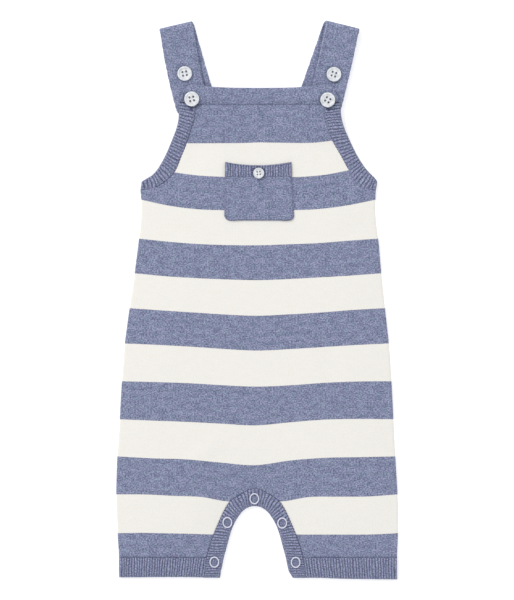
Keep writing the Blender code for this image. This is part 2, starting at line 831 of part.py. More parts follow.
body("front_body", HALF_COLUMNS, BIB_SEAM, outer, inner)
body("back_body", BACK_COLUMNS, BACK_NECK, lambda x, y: JERSEY, lambda x, y: 0.0)
bib_hem()
armhole_bands()
crotch_bands()
cuffs()
for word, strip in STRAPS.items():
    strap(word, strip)
pocket()
for which in BUTTONS:
    button(which, button_seats(which))
for number, (x, y) in enumerate(RINGS, 1):
    ring(number, x, y)
for group in garment, cutters:
    for thing in group.objects:
        thing.location.x -= CENTRE[0] * MM
        thing.location.y -= CENTRE[1] * MM
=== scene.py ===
"""The looks of a baby's striped knitted romper, laid flat and seen from straight above.

Every cloth piece is a thin shell on its solid's own form: a sheet is laid out in plan,
given its wall, and raised to the height the table, the layers below and the creases
give it.  Sizes in the tables are millimetres in the frame of the part's own source,
whose middle lies at CENTRE.
"""

from collections import namedtuple
from math import cos, hypot, pi, radians, sin, tan

import bpy
import numpy as np
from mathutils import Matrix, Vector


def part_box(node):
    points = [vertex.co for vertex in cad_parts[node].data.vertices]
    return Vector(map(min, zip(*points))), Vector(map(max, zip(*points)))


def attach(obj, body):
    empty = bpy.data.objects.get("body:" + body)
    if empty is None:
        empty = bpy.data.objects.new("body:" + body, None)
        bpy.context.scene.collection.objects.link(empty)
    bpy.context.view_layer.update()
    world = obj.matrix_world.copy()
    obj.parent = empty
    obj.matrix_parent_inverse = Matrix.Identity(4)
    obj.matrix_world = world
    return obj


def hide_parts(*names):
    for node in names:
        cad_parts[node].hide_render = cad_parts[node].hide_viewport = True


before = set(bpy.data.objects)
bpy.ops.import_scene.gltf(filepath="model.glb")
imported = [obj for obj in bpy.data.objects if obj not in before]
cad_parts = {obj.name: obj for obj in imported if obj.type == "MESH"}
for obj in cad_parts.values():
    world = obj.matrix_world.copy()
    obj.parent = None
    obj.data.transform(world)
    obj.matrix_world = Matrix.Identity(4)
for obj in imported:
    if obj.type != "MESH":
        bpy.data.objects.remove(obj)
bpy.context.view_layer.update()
bpy.ops.object.select_all(action="DESELECT")

MM = 0.001
CENTRE = (0.1, -0.47)

# ---- cloth ----
JERSEY = 1.5
RIB_BASE = 1.45
RIB_RISE = 0.9
HEM_WALL = 2.8
STRAP_WALL = 2.5
GAP = 0.3
LAP = JERSEY + GAP
CROWN = 1.9  # how far the front's middle stands up over its seams
CROWN_REACH = 45.0  # from a side seam in to the full crown
ARCH_REACH = 34.0  # the same from the arch and the cuffs
BIB_CROWN = 0.45  # share of the crown that the bib has
WALE = 1.6  # width of one column of stitches
COURSE = 1.15  # height of one row of stitches

# ---- outline ----
# Heights come first: LEAN holds where the middle line lies, the seams and the edge how
# far out they run from it.
LEAN = (
    (232.0, 1.5), (160.0, 2.2), (145.0, 2.8), (127.0, 3.3), (110.0, 3.9), (102.5, 4.0),
    (97.0, 1.7), (84.0, 1.1), (45.0, 1.3), (28.0, 0.9), (-16.0, 0.1), (-94.0, -0.3),
    (-156.0, -0.3), (-171.0, 0.1), (-197.0, 0.7), (-232.0, 1.0),
)
SIDE_SEAM = (
    (90.8, 97.8), (84.0, 97.3), (72.0, 97.3), (45.0, 100.0), (28.0, 101.8), (-16.0, 107.2),
    (-34.0, 109.4), (-75.0, 112.4), (-94.0, 113.4), (-135.0, 115.7), (-171.0, 117.0), (-197.0, 116.3),
    (-215.0, 115.4), (-233.0, 115.5),
)
ARMHOLE_SEAM = (
    (162.0, 53.0), (158.0, 53.3), (153.0, 54.0), (148.0, 55.2), (138.7, 58.7), (130.8, 61.4),
    (118.4, 66.8), (106.8, 72.3), (100.1, 77.0), (94.3, 83.3), (91.7, 90.5), (90.8, 97.8),
)
RIGHT_ARMHOLE_IN = (2.0, 139.0, 24.0)  # further in by how much, at what height, how far up and down
ARMHOLE_EDGE = (
    (163.5, 66.9), (153.5, 67.4), (150.4, 67.7), (145.4, 68.8), (140.4, 70.4), (135.4, 72.5),
    (127.0, 76.2), (120.5, 79.3), (113.8, 83.1), (107.2, 87.7), (103.9, 90.8), (100.6, 95.0),
    (98.1, 97.9),
)
# The crotch arch: its seam by the depth under its top, its free edge by height.
CROTCH_X = -1.8
ARCH_TOP = -156.7
ARCH_SEAM = (
    (0.0, 0.0), (0.7, 4.2), (3.6, 9.3), (11.0, 20.6), (18.8, 25.5), (27.6, 29.6),
    (38.1, 34.0), (55.2, 39.5), (74.5, 42.8),
)
CROTCH_EDGE = (
    (-171.5, 0.0), (-172.1, 4.2), (-175.1, 9.4), (-180.0, 13.5), (-185.5, 16.8), (-195.0, 20.5),
    (-204.5, 23.0), (-213.5, 25.5), (-226.0, 28.3), (-231.0, 30.2),
)
FOOT_HALF = 42.6  # from the arch's middle to the outside of each of the crotch band's feet
CUFF_SEAM = -214.4
CUFF_GAP = 0.3  # between a cuff and the crotch band
LEG_HEM = (  # x, then height
    (-115.0, -230.7), (-45.0, -230.8), (-35.0, -231.2), (32.0, -231.4), (45.0, -231.0), (70.0, -231.8),
    (115.0, -232.4),
)
BIB_SEAM = 162.0
SEAM_TROUGH = 0.85
TROUGH_HALF = 1.3
SIDE_ROLL = (1.5, JERSEY - 0.3)  # how far in, and how deep, the wall rolls down to a side seam
SEAM_ROLL = 0.9
SEAM_DROP = 0.25
ARMHOLE_GROOVE = {-1: 0.6, 1: 0.12}  # how deep the seam by each armhole is drawn in
BACK_NECK = 169.9
UNDERARM = 90.8

# ---- courses: where the stripes change ----
# end_y and middle_y are a row's heights at the seam and on the middle line (on a leg, at
# the crotch arch).  left and right say how much of the difference is left a quarter, a
# half and three quarters of the way out, and right_rise how much higher the right end is.
Course = namedtuple("Course", "end_y middle_y cream_below left right right_rise", defaults=(0.0,))
COURSES = (
    Course(BIB_SEAM, BIB_SEAM, False, (0.95, 0.85, 0.55), (0.95, 0.85, 0.55)),
    Course(129.9, 130.7, True, (0.25, 0.10, 0.0), (1.21, 1.39, 1.18), 2.2),
    Course(105.9, 101.6, False, (0.95, 0.85, 0.58), (0.97, 0.90, 0.60), 1.7),
    Course(94.3, 90.6, False, (0.97, 0.88, 0.56), (0.96, 0.85, 0.50)),
    Course(91.7, 87.3, False, (0.97, 0.88, 0.56), (0.96, 0.85, 0.50)),
    Course(UNDERARM, 84.4, False, (0.97, 0.88, 0.56), (0.96, 0.85, 0.50)),
    Course(83.1, 74.0, True, (0.97, 0.89, 0.57), (0.97, 0.87, 0.54)),
    Course(50.8, 45.2, False, (0.97, 0.81, 0.47), (0.85, 0.67, 0.32)),
    Course(22.0, 16.3, True, (0.90, 0.71, 0.43), (0.85, 0.60, 0.34)),
    Course(-6.9, -13.2, False, (0.84, 0.57, 0.30), (0.82, 0.57, 0.24)),
    Course(-36.2, -42.1, True, (0.77, 0.45, 0.20), (0.80, 0.51, 0.22)),
    Course(-67.6, -72.0, False, (0.74, 0.36, 0.15), (0.76, 0.30, 0.04)),
    Course(-99.2, -104.2, True, (0.72, 0.43, 0.22), (0.50, 0.05, -0.06)),
    Course(-130.0, -137.2, False, (0.70, 0.33, 0.21), (0.46, 0.15, 0.07)),
    Course(-150.5, ARCH_TOP, False, (0.60, 0.28, 0.12), (0.44, 0.20, 0.12)),
)
LEG_COURSES = (
    Course(-150.5, ARCH_TOP, False, (0.60, 0.28, 0.12), (0.44, 0.20, 0.12)),
    Course(-161.5, -167.4, True, (0.36, 0.19, 0.0), (0.36, 0.31, 0.28)),
    Course(-193.7, -194.8, False, (0.40, 0.0, -0.3), (1.0, 1.0, 0.9)),
    Course(CUFF_SEAM, CUFF_SEAM, False, (0.40, 0.0, -0.3), (1.0, 1.0, 0.9)),
)

# ---- folds: soft ridges and troughs ----
Fold = namedtuple("Fold", "x y turn length width rise")
FOLDS = (
    Fold(-52.0, 122.0, 62.0, 26.0, 13.0, -0.6),
    Fold(50.0, 126.0, 112.0, 24.0, 12.0, -0.55),
    Fold(2.0, 122.0, 2.0, 30.0, 8.0, -0.45),
    Fold(-74.0, 62.0, -28.0, 34.0, 13.0, -0.55),
    Fold(80.0, 58.0, 34.0, 30.0, 13.0, -0.6),
    Fold(-66.0, -24.0, 76.0, 48.0, 16.0, 0.55),
    Fold(60.0, -52.0, 98.0, 44.0, 15.0, -0.55),
    Fold(-46.0, -128.0, 38.0, 34.0, 12.0, 0.6),
    Fold(42.0, -126.0, -42.0, 30.0, 12.0, 0.55),
)

# ---- straps ----
# corner_x and corner_y are the fold's outer corner, the slants and the tilt are degrees.
Strap = namedtuple(
    "Strap", "side corner_x corner_y width front_slant back_slant tilt skew bow pinch round_by"
)
STRAPS = {
    "left": Strap(-1, 81.3, 224.9, 28.0, 11.9, 15.9, 13.1, 1.0, 1.1, 1.5, 1.1),
    "right": Strap(1, 85.4, 225.0, 28.4, 13.0, 19.2, 13.8, 2.1, 0.4, 1.6, 1.5),
}
FOLD_RADIUS = 1.95
STRAP_END = 153.0
STRAP_SEAT = STRAP_WALL + GAP
STRAP_END_SEAT = LAP + 0.1
LIFT_LENGTH = 26.0  # along the strap, from the fold to where the halves lie on each other
END_CORNER = 4.0
COVER_FLAT = 9.0  # round a strap's hidden end, the bib lies on it this far,
COVER_FADE = 20.0  # and comes down over this length

# ---- ribs ----
ARMHOLE_RIBS = 31
CROTCH_RIBS = 70
CUFF_RIBS = 34
POCKET_RIBS = 25
# Share along the band, and how far the ribs' seam ends lag there, as a share of the seam.
STRAIGHT = ((0.0, 0.0), (1.0, 0.0))
ARMHOLE_LAG = {
    -1: (
        (0.0, 0.0), (0.15, 0.002), (0.3, 0.014), (0.45, 0.036), (0.62, 0.046), (0.8, 0.03), (1.0, 0.0),
    ),
    1: ((0.0, 0.0), (0.25, 0.042), (0.5, 0.058), (0.75, 0.042), (1.0, 0.0)),
}
CROTCH_LAG = (
    (0.0, 0.0), (0.125, 0.035), (0.25, 0.05), (0.375, 0.035), (0.5, 0.0),
    (0.625, -0.035), (0.75, -0.05), (0.875, -0.035), (1.0, 0.0),
)

# ---- bib hem ----
# From the middle out: how far out and how high the top edge lies, then the bottom edge.
BIB_HEM = (
    (0.0, 175.8, 0.0, 162.1), (12.0, 175.9, 12.0, 162.1), (24.0, 176.0, 24.0, 162.1),
    (34.0, 176.3, 34.0, 162.1), (42.0, 176.9, 42.0, 162.1), (49.0, 178.0, 49.0, 162.1),
    (54.5, 178.6, 54.0, 162.3), (58.8, 177.8, 58.5, 162.9), (61.4, 175.6, 63.0, 163.5),
    (63.6, 171.8, 66.9, 163.9),
)

# ---- pocket ----
POCKET_X = 1.1
POCKET_TOP = (114.3, 111.5)
POCKET_SEAM = 101.8
POCKET_BOTTOM = 65.6
POCKET_HALF = (27.4, 27.7, 29.2)
POCKET_LEAN = 0.9
POCKET_LAP = 0.2
POCKET_SEAT = 0.12  # the pocket's underside over the front
POCKET_CORNER = 4.5

# ---- buttons and rings ----
BUTTON_TURNS = {
    "button_upper_left": 11.0,
    "button_lower_left": 12.0,
    "button_upper_right": -18.0,
    "button_lower_right": -29.0,
    "button_pocket": 6.0,
}
BUTTON_PROFILE = (  # radius, height, as shares of the radius, from under the middle round to the top
    (0.78, 0.00), (0.91, 0.03), (0.97, 0.09), (1.00, 0.18), (0.995, 0.27),
    (0.965, 0.325), (0.91, 0.348), (0.84, 0.35), (0.78, 0.335), (0.75, 0.30),
    (0.72, 0.265), (0.67, 0.25), (0.52, 0.25), (0.30, 0.255), (0.12, 0.257),
)
BUTTON_FACE = 0.25  # the dish's height, which is a share of the radius too, as are the holes' sizes
HOLE_RADIUS = 0.15
HOLE_PITCH = 0.245
DENT = 1.15
RINGS = [f"snap_ring_{number}" for number in range(1, 6)]
RING_WIRE = 0.58  # half the thickness of a ring
RING_OVAL = 0.86  # a ring's width as a share of its height, as it lies
RING_CALM = 7.0  # the ribs are crushed this far round a ring's middle
FOOT_LEAN = 1.2  # how far the crotch band's feet lie over to the right


# ---- small tools ----
def smooth(table, key):
    """A table's second column at values of its first, on a soft curve through its rows."""
    rows = np.array(sorted((row[0], row[1]) for row in table), float)
    at, value = rows[:, 0], rows[:, 1]
    slope = np.gradient(value, at)
    key = np.clip(np.asarray(key, float), at[0], at[-1])
    i = np.clip(np.searchsorted(at, key, side="right") - 1, 0, len(at) - 2)
    step = at[i + 1] - at[i]
    t = (key - at[i]) / step
    left = (1 + 2 * t) * (1 - t) ** 2 * value[i] + t * (1 - t) ** 2 * step * slope[i]
    right = t * t * (3 - 2 * t) * value[i + 1] + t * t * (t - 1) * step * slope[i + 1]
    return left + right


def soft_line(points, count=240):
    """count + 1 evenly spaced points on a soft curve through the given ones."""
    points = np.array(points, float)
    run = np.concatenate([[0.0], np.cumsum(np.hypot(*np.diff(points, axis=0).T))])
    fine = np.linspace(0.0, run[-1], count * 4 + 1)
    curve = np.stack([smooth(list(zip(run, points[:, k])), fine) for k in (0, 1)], axis=1)
    run = np.concatenate([[0.0], np.cumsum(np.hypot(*np.diff(curve, axis=0).T))])
    even = np.linspace(0.0, run[-1], count + 1)
    return np.stack([np.interp(even, run, curve[:, k]) for k in (0, 1)], axis=1)


def along(line, share):
    """Points of an evenly spaced line at shares of its length."""
    places = np.asarray(share, float) * (len(line) - 1)
    return np.stack([np.interp(places, np.arange(len(line)), line[:, k]) for k in (0, 1)], -1)


def share_at(line, y):
    """The share of a falling line's length at a height."""
    return float(np.interp(-y, -line[:, 1], np.linspace(0.0, 1.0, len(line))))


def length_of(line):
    return float(np.hypot(*np.diff(line, axis=0).T).sum())


def ease(share):
    """0 to 1 with a round shoulder, flat from 1 on."""
    return 1.0 - (1.0 - np.clip(share, 0.0, 1.0)) ** 2


def fade(share):
    """1 at 0, 0 from 1 on, level at both ends."""
    share = np.clip(share, 0.0, 1.0)
    return 1.0 - share * share * (3.0 - 2.0 * share)


def roll(distance, radius, depth):
    """How far a rounded edge lies under the face, at a distance from the edge."""
    share = np.clip(distance / radius, 0.0, 1.0)
    return depth * (1.0 - np.sqrt(1.0 - (1.0 - share) ** 2))


def stations(count, edge=()):
    """Shares from 0 to 1: evenly spaced, with closer ones by both edges."""
    inside = np.linspace(0.0, 1.0, count + 1)
    near = np.array(edge)
    low, high = near, 1.0 - near[::-1]
    limit = near[-1] * 1.3 if len(near) else 0.0
    inside = inside[(inside > limit) & (inside < 1.0 - limit)]
    return np.concatenate([[0.0], low, inside, high, [1.0]])


# ---- heights of the front layer ----
def lean(y):
    """Where the middle line lies at a height."""
    return smooth(LEAN, y)


def half_width(y):
    """How far the armhole's or the side's seam lies out from the middle line."""
    y = np.asarray(y, float)
    return np.where(y > UNDERARM, smooth(ARMHOLE_SEAM, y), smooth(SIDE_SEAM, y))


def arch_half(y):
    """How far the arch's seam lies out from the arch's middle."""
    depth = np.maximum(ARCH_TOP - np.asarray(y, float), 0.0)
    return smooth([(row[0] ** 0.5, row[1]) for row in ARCH_SEAM], np.sqrt(depth))


def crown(x, y):
    """Share of the full crown, 0 at every seam."""
    side = (half_width(y) - np.abs(x - lean(y))) / CROWN_REACH
    over = np.hypot(x - CROTCH_X, y - ARCH_TOP) / ARCH_REACH
    beside = (np.abs(x - CROTCH_X) - arch_half(y)) / ARCH_REACH
    arch = np.where(y > ARCH_TOP, over, beside)
    cuff = (y - CUFF_SEAM) / ARCH_REACH
    bib = np.interp(y, (100.0, 140.0), (1.0, BIB_CROWN))
    return ease(side) * ease(arch) * ease(cuff) * bib


def folds(x, y):
    """Sum of the soft folds at each place."""
    rise = np.zeros_like(x)
    for fold in FOLDS:
        turn = radians(fold.turn)
        forward = (x - fold.x) * cos(turn) + (y - fold.y) * sin(turn)
        across = (y - fold.y) * cos(turn) - (x - fold.x) * sin(turn)
        shape = fade(np.abs(forward) / fold.length) * fade(np.abs(across) / fold.width)
        rise = rise + fold.rise * shape
    return rise


def strap_seat(y):
    """Underside of a strap's front half."""
    return np.interp(y, (STRAP_END, BACK_NECK), (STRAP_END_SEAT, STRAP_SEAT))


def strap_cover(x, y):
    """1 where the bib lies on a strap, fading to 0 around it."""
    cover = np.zeros_like(x)
    for strip in STRAPS.values():
        slant = radians(strip.front_slant)
        edge = strip.corner_x - (strip.corner_y - y) * tan(slant)
        half = strip.width / 2 / cos(slant)
        beside = np.abs(x * strip.side - edge + half) - half - COVER_FLAT
        below = STRAP_END - COVER_FLAT - y
        cover = np.maximum(cover, fade(beside / COVER_FADE) * fade(below / COVER_FADE))
    return cover


def round_piece(node):
    """Middle and radius of a button or a ring, in the tables' frame."""
    low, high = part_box(node)
    middle = (low.x + high.x) / 2 / MM + CENTRE[0], (low.y + high.y) / 2 / MM + CENTRE[1]
    return *middle, (high.x - low.x) / 2 / MM


def dent(x, y):
    """How deep the tight thread of each button pulls its rim into the cloth."""
    depth = np.zeros_like(x)
    for node in BUTTON_TURNS:
        at_x, at_y, radius = round_piece(node)
        away = np.hypot(x - at_x, y - at_y) / radius
        depth = np.maximum(depth, DENT * fade(np.abs(away - 1.0) / 0.3))
    return depth


def crushed(x, y):
    """How calm the ribs lie round the press studs, and the form of the cloth there:
    a groove under the ring, a small crumpled dome inside it."""
    rings = [round_piece(node) for node in RINGS]
    away = np.min([np.hypot(x - ring[0], y - ring[1]) for ring in rings], axis=0)
    crumple = np.sin(2 * pi * (x / 1.9 + y / 4.1)) * np.sin(2 * pi * (y / 1.6 - x / 5.3))
    form = (0.35 + 0.22 * crumple) * fade(away / 4.2) - 0.3 * fade(np.abs(away - 4.8) / 1.6)
    return fade(away / RING_CALM), form


def inner(x, y):
    """Height of the front layer's inner surface."""
    x, y = np.asarray(x, float), np.asarray(y, float)
    share = crown(x, y)
    plain = LAP + CROWN * share + folds(x, y) * share
    on_strap = strap_seat(y) + STRAP_WALL + GAP
    return plain + np.maximum(on_strap - plain, 0.0) * strap_cover(x, y)


def on_front(x, y):
    return inner(x, y) + JERSEY


# ---- sheets ----
Patch = namedtuple("Patch", "x y u v over under ridge", defaults=(None,))


def pick(things):
    """Selects these alone, with the first one active."""
    bpy.ops.object.select_all(action="DESELECT")
    for thing in things:
        thing.select_set(True)
    bpy.context.view_layer.objects.active = things[0]


def read(store, name, count, kind=float):
    """One value of every vertex or corner, as an array."""
    values = np.empty(count, kind)
    store.foreach_get(name, values)
    return values


def face_outwards():
    """Turns the active mesh's faces outwards and leaves it in object mode."""
    bpy.ops.object.mode_set(mode="EDIT")
    bpy.ops.mesh.select_all(action="SELECT")
    bpy.ops.mesh.normals_make_consistent(inside=False)
    bpy.ops.object.mode_set(mode="OBJECT")


def lay_out(patch):
    """A flat grid with one patch's places, its knit map and its two heights."""
    rows, columns = patch.x.shape
    bpy.ops.mesh.primitive_grid_add(x_subdivisions=columns - 1, y_subdivisions=rows - 1, size=1.0)
    sheet = bpy.context.active_object
    mesh = sheet.data
    co = read(mesh.vertices, "co", len(mesh.vertices) * 3).reshape(-1, 3)
    column = np.rint((co[:, 0] + 0.5) * (columns - 1)).astype(int)
    row = np.rint((0.5 - co[:, 1]) * (rows - 1)).astype(int)
    co[:, 0], co[:, 1] = patch.x[row, column], patch.y[row, column]
    mesh.vertices.foreach_set("co", co.ravel())
    corner = read(mesh.loops, "vertex_index", len(mesh.loops), int)
    knit = np.stack([patch.u[row, column][corner], patch.v[row, column][corner]], axis=1)
    mesh.uv_layers[0].name = "knit"
    mesh.uv_layers["knit"].data.foreach_set("uv", knit.ravel())
    for name, values in ("over", patch.over), ("under", patch.under), ("ridge", patch.ridge):
        if values is None:
            continue
        store = mesh.attributes.new(name, "FLOAT", "POINT")
        store.data.foreach_set("value", values[row, column].astype(np.float32))
    return sheet


def raise_up(name, patches, place, material, node):
    """Joins flat patches into one cloth, gives it a wall and puts it in its place."""
    sheets = [lay_out(patch) for patch in patches]
    pick(sheets)
    if len(sheets) > 1:
        bpy.ops.object.join()
    piece = bpy.context.active_object
    piece.name = piece.data.name = name
    bpy.ops.object.mode_set(mode="EDIT")
    bpy.ops.mesh.select_all(action="SELECT")
    bpy.ops.mesh.remove_doubles(threshold=0.01)
    bpy.ops.mesh.extrude_region_move(TRANSFORM_OT_translate={"value": (0, 0, 1)})
    bpy.ops.object.mode_set(mode="OBJECT")
    mesh = piece.data
    count = len(mesh.vertices)
    co = read(mesh.vertices, "co", count * 3).reshape(-1, 3)
    over, under = (read(mesh.attributes[name].data, "value", count) for name in ("over", "under"))
    height = np.where(co[:, 2] > 0.5, over, under)
    spot = np.stack(place(co[:, 0], co[:, 1], height), axis=1)
    spot[:, 0] -= CENTRE[0]
    spot[:, 1] -= CENTRE[1]
    mesh.vertices.foreach_set("co", (spot * MM).ravel())
    for stored in "over", "under":
        mesh.attributes.remove(mesh.attributes[stored])
    face_outwards()
    bpy.ops.object.shade_smooth()
    mesh.update()
    dress(piece, material, node)
    return piece


def dress(piece, material, node=None):
    """Gives a finished piece its material and its place in the frame."""
    piece.data.materials.clear()
    piece.data.materials.append(material)
    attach(piece, "root")
    if node:
        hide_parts(node)
    bpy.ops.object.select_all(action="DESELECT")


# ---- body panels ----
def seam_points(side, table):
    return [(float(lean(y)) + side * half, y) for y, half in table]


ARM_LINE = {side: soft_line(seam_points(side, ARMHOLE_SEAM)) for side in (-1, 1)}
further, at_height, reach = RIGHT_ARMHOLE_IN
ARM_LINE[1][:, 0] -= further * fade(np.abs(ARM_LINE[1][:, 1] - at_height) / reach)
SIDE_LINE = {side: soft_line(seam_points(side, SIDE_SEAM)) for side in (-1, 1)}


def both_legs(half):
    """A line round the arch from left to right, from one half of it."""
    left = [(CROTCH_X - x, y) for x, y in half[:0:-1]]
    return soft_line(left + [(CROTCH_X + x, y) for x, y in half], 480)


WHOLE_ARCH = both_legs([(half, ARCH_TOP - depth) for depth, half in ARCH_SEAM])
ARCH_LINE = {-1: WHOLE_ARCH[240::-1], 1: WHOLE_ARCH[240:]}


def seam_spots(side, a, b, shares):
    """Where rows between two courses end on the armhole seam or the side seam."""
    line = ARM_LINE[side] if b >= UNDERARM else SIDE_LINE[side]
    low, high = share_at(line, a), share_at(line, b)
    return along(line, low + (high - low) * shares)


def knit_between(a, b):
    """How much is knitted from one course to the next."""
    return ((a.middle_y - b.middle_y) + (a.end_y - b.end_y)) / 2


def course_rows(courses, step):
    """Every row of the grid: the courses over and under it, its share, its knit height."""
    rows, knit = [], BIB_SEAM - courses[0].middle_y
    for number, (a, b) in enumerate(zip(courses, courses[1:])):
        drop = knit_between(a, b)
        count = max(1, round(drop / step))
        for i in range(count + (number == len(courses) - 2)):
            rows.append((a, b, i / count, knit + drop * i / count))
        knit += drop
    return rows


def dip_left(a, b, share, s):
    """How much of a row's dip is left at places from -1 to 1, between two courses."""
    left = [p + (q - p) * share for p, q in zip(a.left, b.left)]
    right = [p + (q - p) * share for p, q in zip(a.right, b.right)]
    table = [(-1.0, 0.0), *zip((-0.75, -0.5, -0.25), left[::-1]), (0.0, 1.0)]
    table += [*zip((0.25, 0.5, 0.75), right), (1.0, 0.0)]
    return smooth(table, s)


def torso_patch(courses, columns, step):
    """The panel from its top edge down to the arch, and its columns' shares."""
    half = stations(columns, (0.0025, 0.007, 0.015))[1:]
    half = half[half > 0.6 / columns]
    shares = np.concatenate([-half[::-1], [0.0], half])
    rows = course_rows(courses, step)
    x, y, v, edge = [], [], [], []
    for a, b, share, knit in rows:
        middle_y = a.middle_y + (b.middle_y - a.middle_y) * share
        middle_x = float(lean(middle_y))
        if middle_y < 0.0:
            middle_x += (CROTCH_X - middle_x) * (middle_y / ARCH_TOP)
        ends = {-1: seam_spots(-1, a.end_y, b.end_y, share)}
        ends[1] = seam_spots(1, a.end_y + a.right_rise, b.end_y + b.right_rise, share)
        end_x = np.where(shares < 0, ends[-1][0], ends[1][0])
        end_y = np.where(shares < 0, ends[-1][1], ends[1][1])
        x.append(middle_x + (end_x - middle_x) * np.abs(shares))
        y.append(end_y + (middle_y - end_y) * dip_left(a, b, share, shares))
        v.append(np.full_like(shares, knit))
        from_seam = (1.0 - np.abs(shares)) * np.abs(end_x - middle_x)
        in_armhole = b.end_y >= UNDERARM
        tight = np.where(shares < 0, ARMHOLE_GROOVE[-1], ARMHOLE_GROOVE[1])
        drop = roll(from_seam, SEAM_ROLL, tight) if in_armhole else roll(from_seam, *SIDE_ROLL)
        if courses is COURSES:
            drop = drop + SEAM_TROUGH * fade(abs(knit - rows[0][3] - 0.4) / TROUGH_HALF)
        edge.append(drop)
    x, y, v, edge = (np.array(a) for a in (x, y, v, edge))
    return Patch(x, y, x.copy(), v, JERSEY - edge, np.zeros_like(x)), shares


def leg_patch(side, shares, step, first_knit):
    """One leg of the panel, from the arch's top down to the cuff's seam."""
    half = shares[shares >= 0]
    x, y, v, edge = [], [], [], []
    rows = course_rows(LEG_COURSES, step)
    start, last = rows[0][3], rows[-1][3]
    for a, b, share, knit in rows:
        line = ARCH_LINE[side]
        low, high = share_at(line, a.middle_y), share_at(line, b.middle_y)
        arch = along(line, low + (high - low) * share)
        end = seam_spots(side, a.end_y, b.end_y, share)
        x.append(arch[0] + (end[0] - arch[0]) * half)
        y.append(end[1] + (arch[1] - end[1]) * dip_left(a, b, share, half * side))
        v.append(np.full_like(half, knit - start + first_knit))
        width = abs(end[0] - arch[0])
        outside = roll((1 - half) * width, *SIDE_ROLL)
        drop = np.maximum(outside, roll(half * width, SEAM_ROLL, SEAM_DROP))
        drop = np.maximum(drop, roll(last - knit, SEAM_ROLL, SEAM_DROP))
        if knit == start:
            drop = np.where(half * width < 0.5, drop, outside)
        edge.append(drop)
    x, y, v, edge = (np.array(a) for a in (x, y, v, edge))
    if side < 0:
        x, y, v, edge = (a[:, ::-1] for a in (x, y, v, edge))
    return Patch(x, y, x.copy(), v, JERSEY - edge, np.zeros_like(x))


def body_patches(courses, columns, step):
    torso, shares = torso_patch(courses, columns, step)
    return [torso] + [leg_patch(side, shares, step, float(torso.v[-1, 0])) for side in (-1, 1)]


def front_place(x, y, height):
    """On the layers below the front, with the dents that the buttons press in."""
    return x, y, inner(x, y) + height - dent(x, y)


def back_place(x, y, height):
    return x, y, height


# ---- ribbed bands ----
ACROSS = np.array([0.0, 0.025, 0.06, 0.12, 0.2, 0.32, 0.45, 0.58, 0.7, 0.8, 0.88, 0.94, 0.975, 1.0])
RIB_SAMPLES = 8
RIB_WALE = 2.4  # width of one rib on the knit map
CLOSER, CLOSE_AT = 0.065, 0.11  # on the arch's shoulders the crotch band's ribs lie closer


def rib_patch(
    seam, edge, ribs, seed, back=False, plain=(1.6, 1.0), calm_ends=0.0, lag=STRAIGHT,
    with_studs=False, lip=0.0,
):
    """A band between its seam and its free edge.  Its ribs run across it, a little
    uneven, and die out over the plain widths by the seam and by the edge, and by the
    band's ends.  A lip is cast off along the free edge, over a groove of that depth."""
    t = np.linspace(0.0, 1.0, ribs * RIB_SAMPLES + 1)
    start, end = along(seam, t - smooth(lag, t)), along(edge, t)
    v = (stations(34, (0.012, 0.025)) if with_studs else ACROSS)[:, None]
    x = start[:, 0] + (end[:, 0] - start[:, 0]) * v
    y = start[:, 1] + (end[:, 1] - start[:, 1]) * v
    width = np.hypot(end[:, 0] - start[:, 0], end[:, 1] - start[:, 1])
    pitch = (length_of(seam) + length_of(edge)) / 2 / ribs
    waver = 0.16 * np.sin(2 * pi * (t * 5.0 + seed)) * np.sin(pi * v)
    waver = waver + 0.1 * np.sin(2 * pi * (t * 13.0 + seed * 2.0 + v * 0.6))
    off = np.abs(t - 0.5) - CLOSE_AT
    closer = CLOSER * (np.sin(4 * pi * off) + np.sin(4 * pi * CLOSE_AT)) / (4 * pi)
    closer = closer * np.sign(t - 0.5) * with_studs
    phase = (t + closer) * ribs + waver * np.sin(pi * v)
    crest = np.abs(np.sin(pi * phase)) ** 0.7
    from_seam = v * width
    from_edge = (1.0 - v) * width
    uneven = 1.0 + 0.18 * np.sin(2 * pi * (t * 9.0 + seed * 3.0)) * np.cos(3.0 * v)
    ridge = (1.0 - fade(from_seam / plain[0])) * (1.0 - 0.8 * fade(from_edge / plain[1])) * uneven
    if calm_ends:
        ridge = ridge * (0.35 + 0.65 * (1.0 - fade(np.minimum(t, 1.0 - t) / calm_ends)))
    form = 0.0
    if with_studs:
        calm, form = crushed(x, y)
        ridge = ridge * (1.0 - 0.85 * calm)
    rise = RIB_RISE * crest * ridge + form - lip * fade(np.abs(from_edge - 1.5) / 0.9)
    fuller = 0.3 * np.sin(pi * v)
    ends = np.minimum(t, 1.0 - t) * ribs * pitch
    round_edge = roll(from_edge, 1.0, 0.9)
    drop = np.maximum(roll(from_seam, 0.8, 0.18), round_edge)
    drop = np.maximum(drop, roll(ends + 0 * v, 0.8, 0.5))
    u, knit = phase * RIB_WALE, from_seam + 0 * x
    if back:
        under = 0.42 * (1.0 - crest) * ridge + 0.4 * round_edge
        return Patch(x, y, u, knit, RIB_BASE - 0.6 * drop, under, ridge)
    under = 0.35 * round_edge + 0 * x
    return Patch(x, y, u, knit, RIB_BASE + rise + fuller - drop, under, ridge)


def armhole_lines(side, top=None):
    """An armhole band's seam and its free edge, run on up to a height where one is given."""
    lines = ARM_LINE[side] - (side * 0.1, 0.0), soft_line(seam_points(side, ARMHOLE_EDGE))
    if top is None:
        return lines
    return tuple(soft_line([(line[0][0], top), *[tuple(p) for p in line[::12]]]) for line in lines)


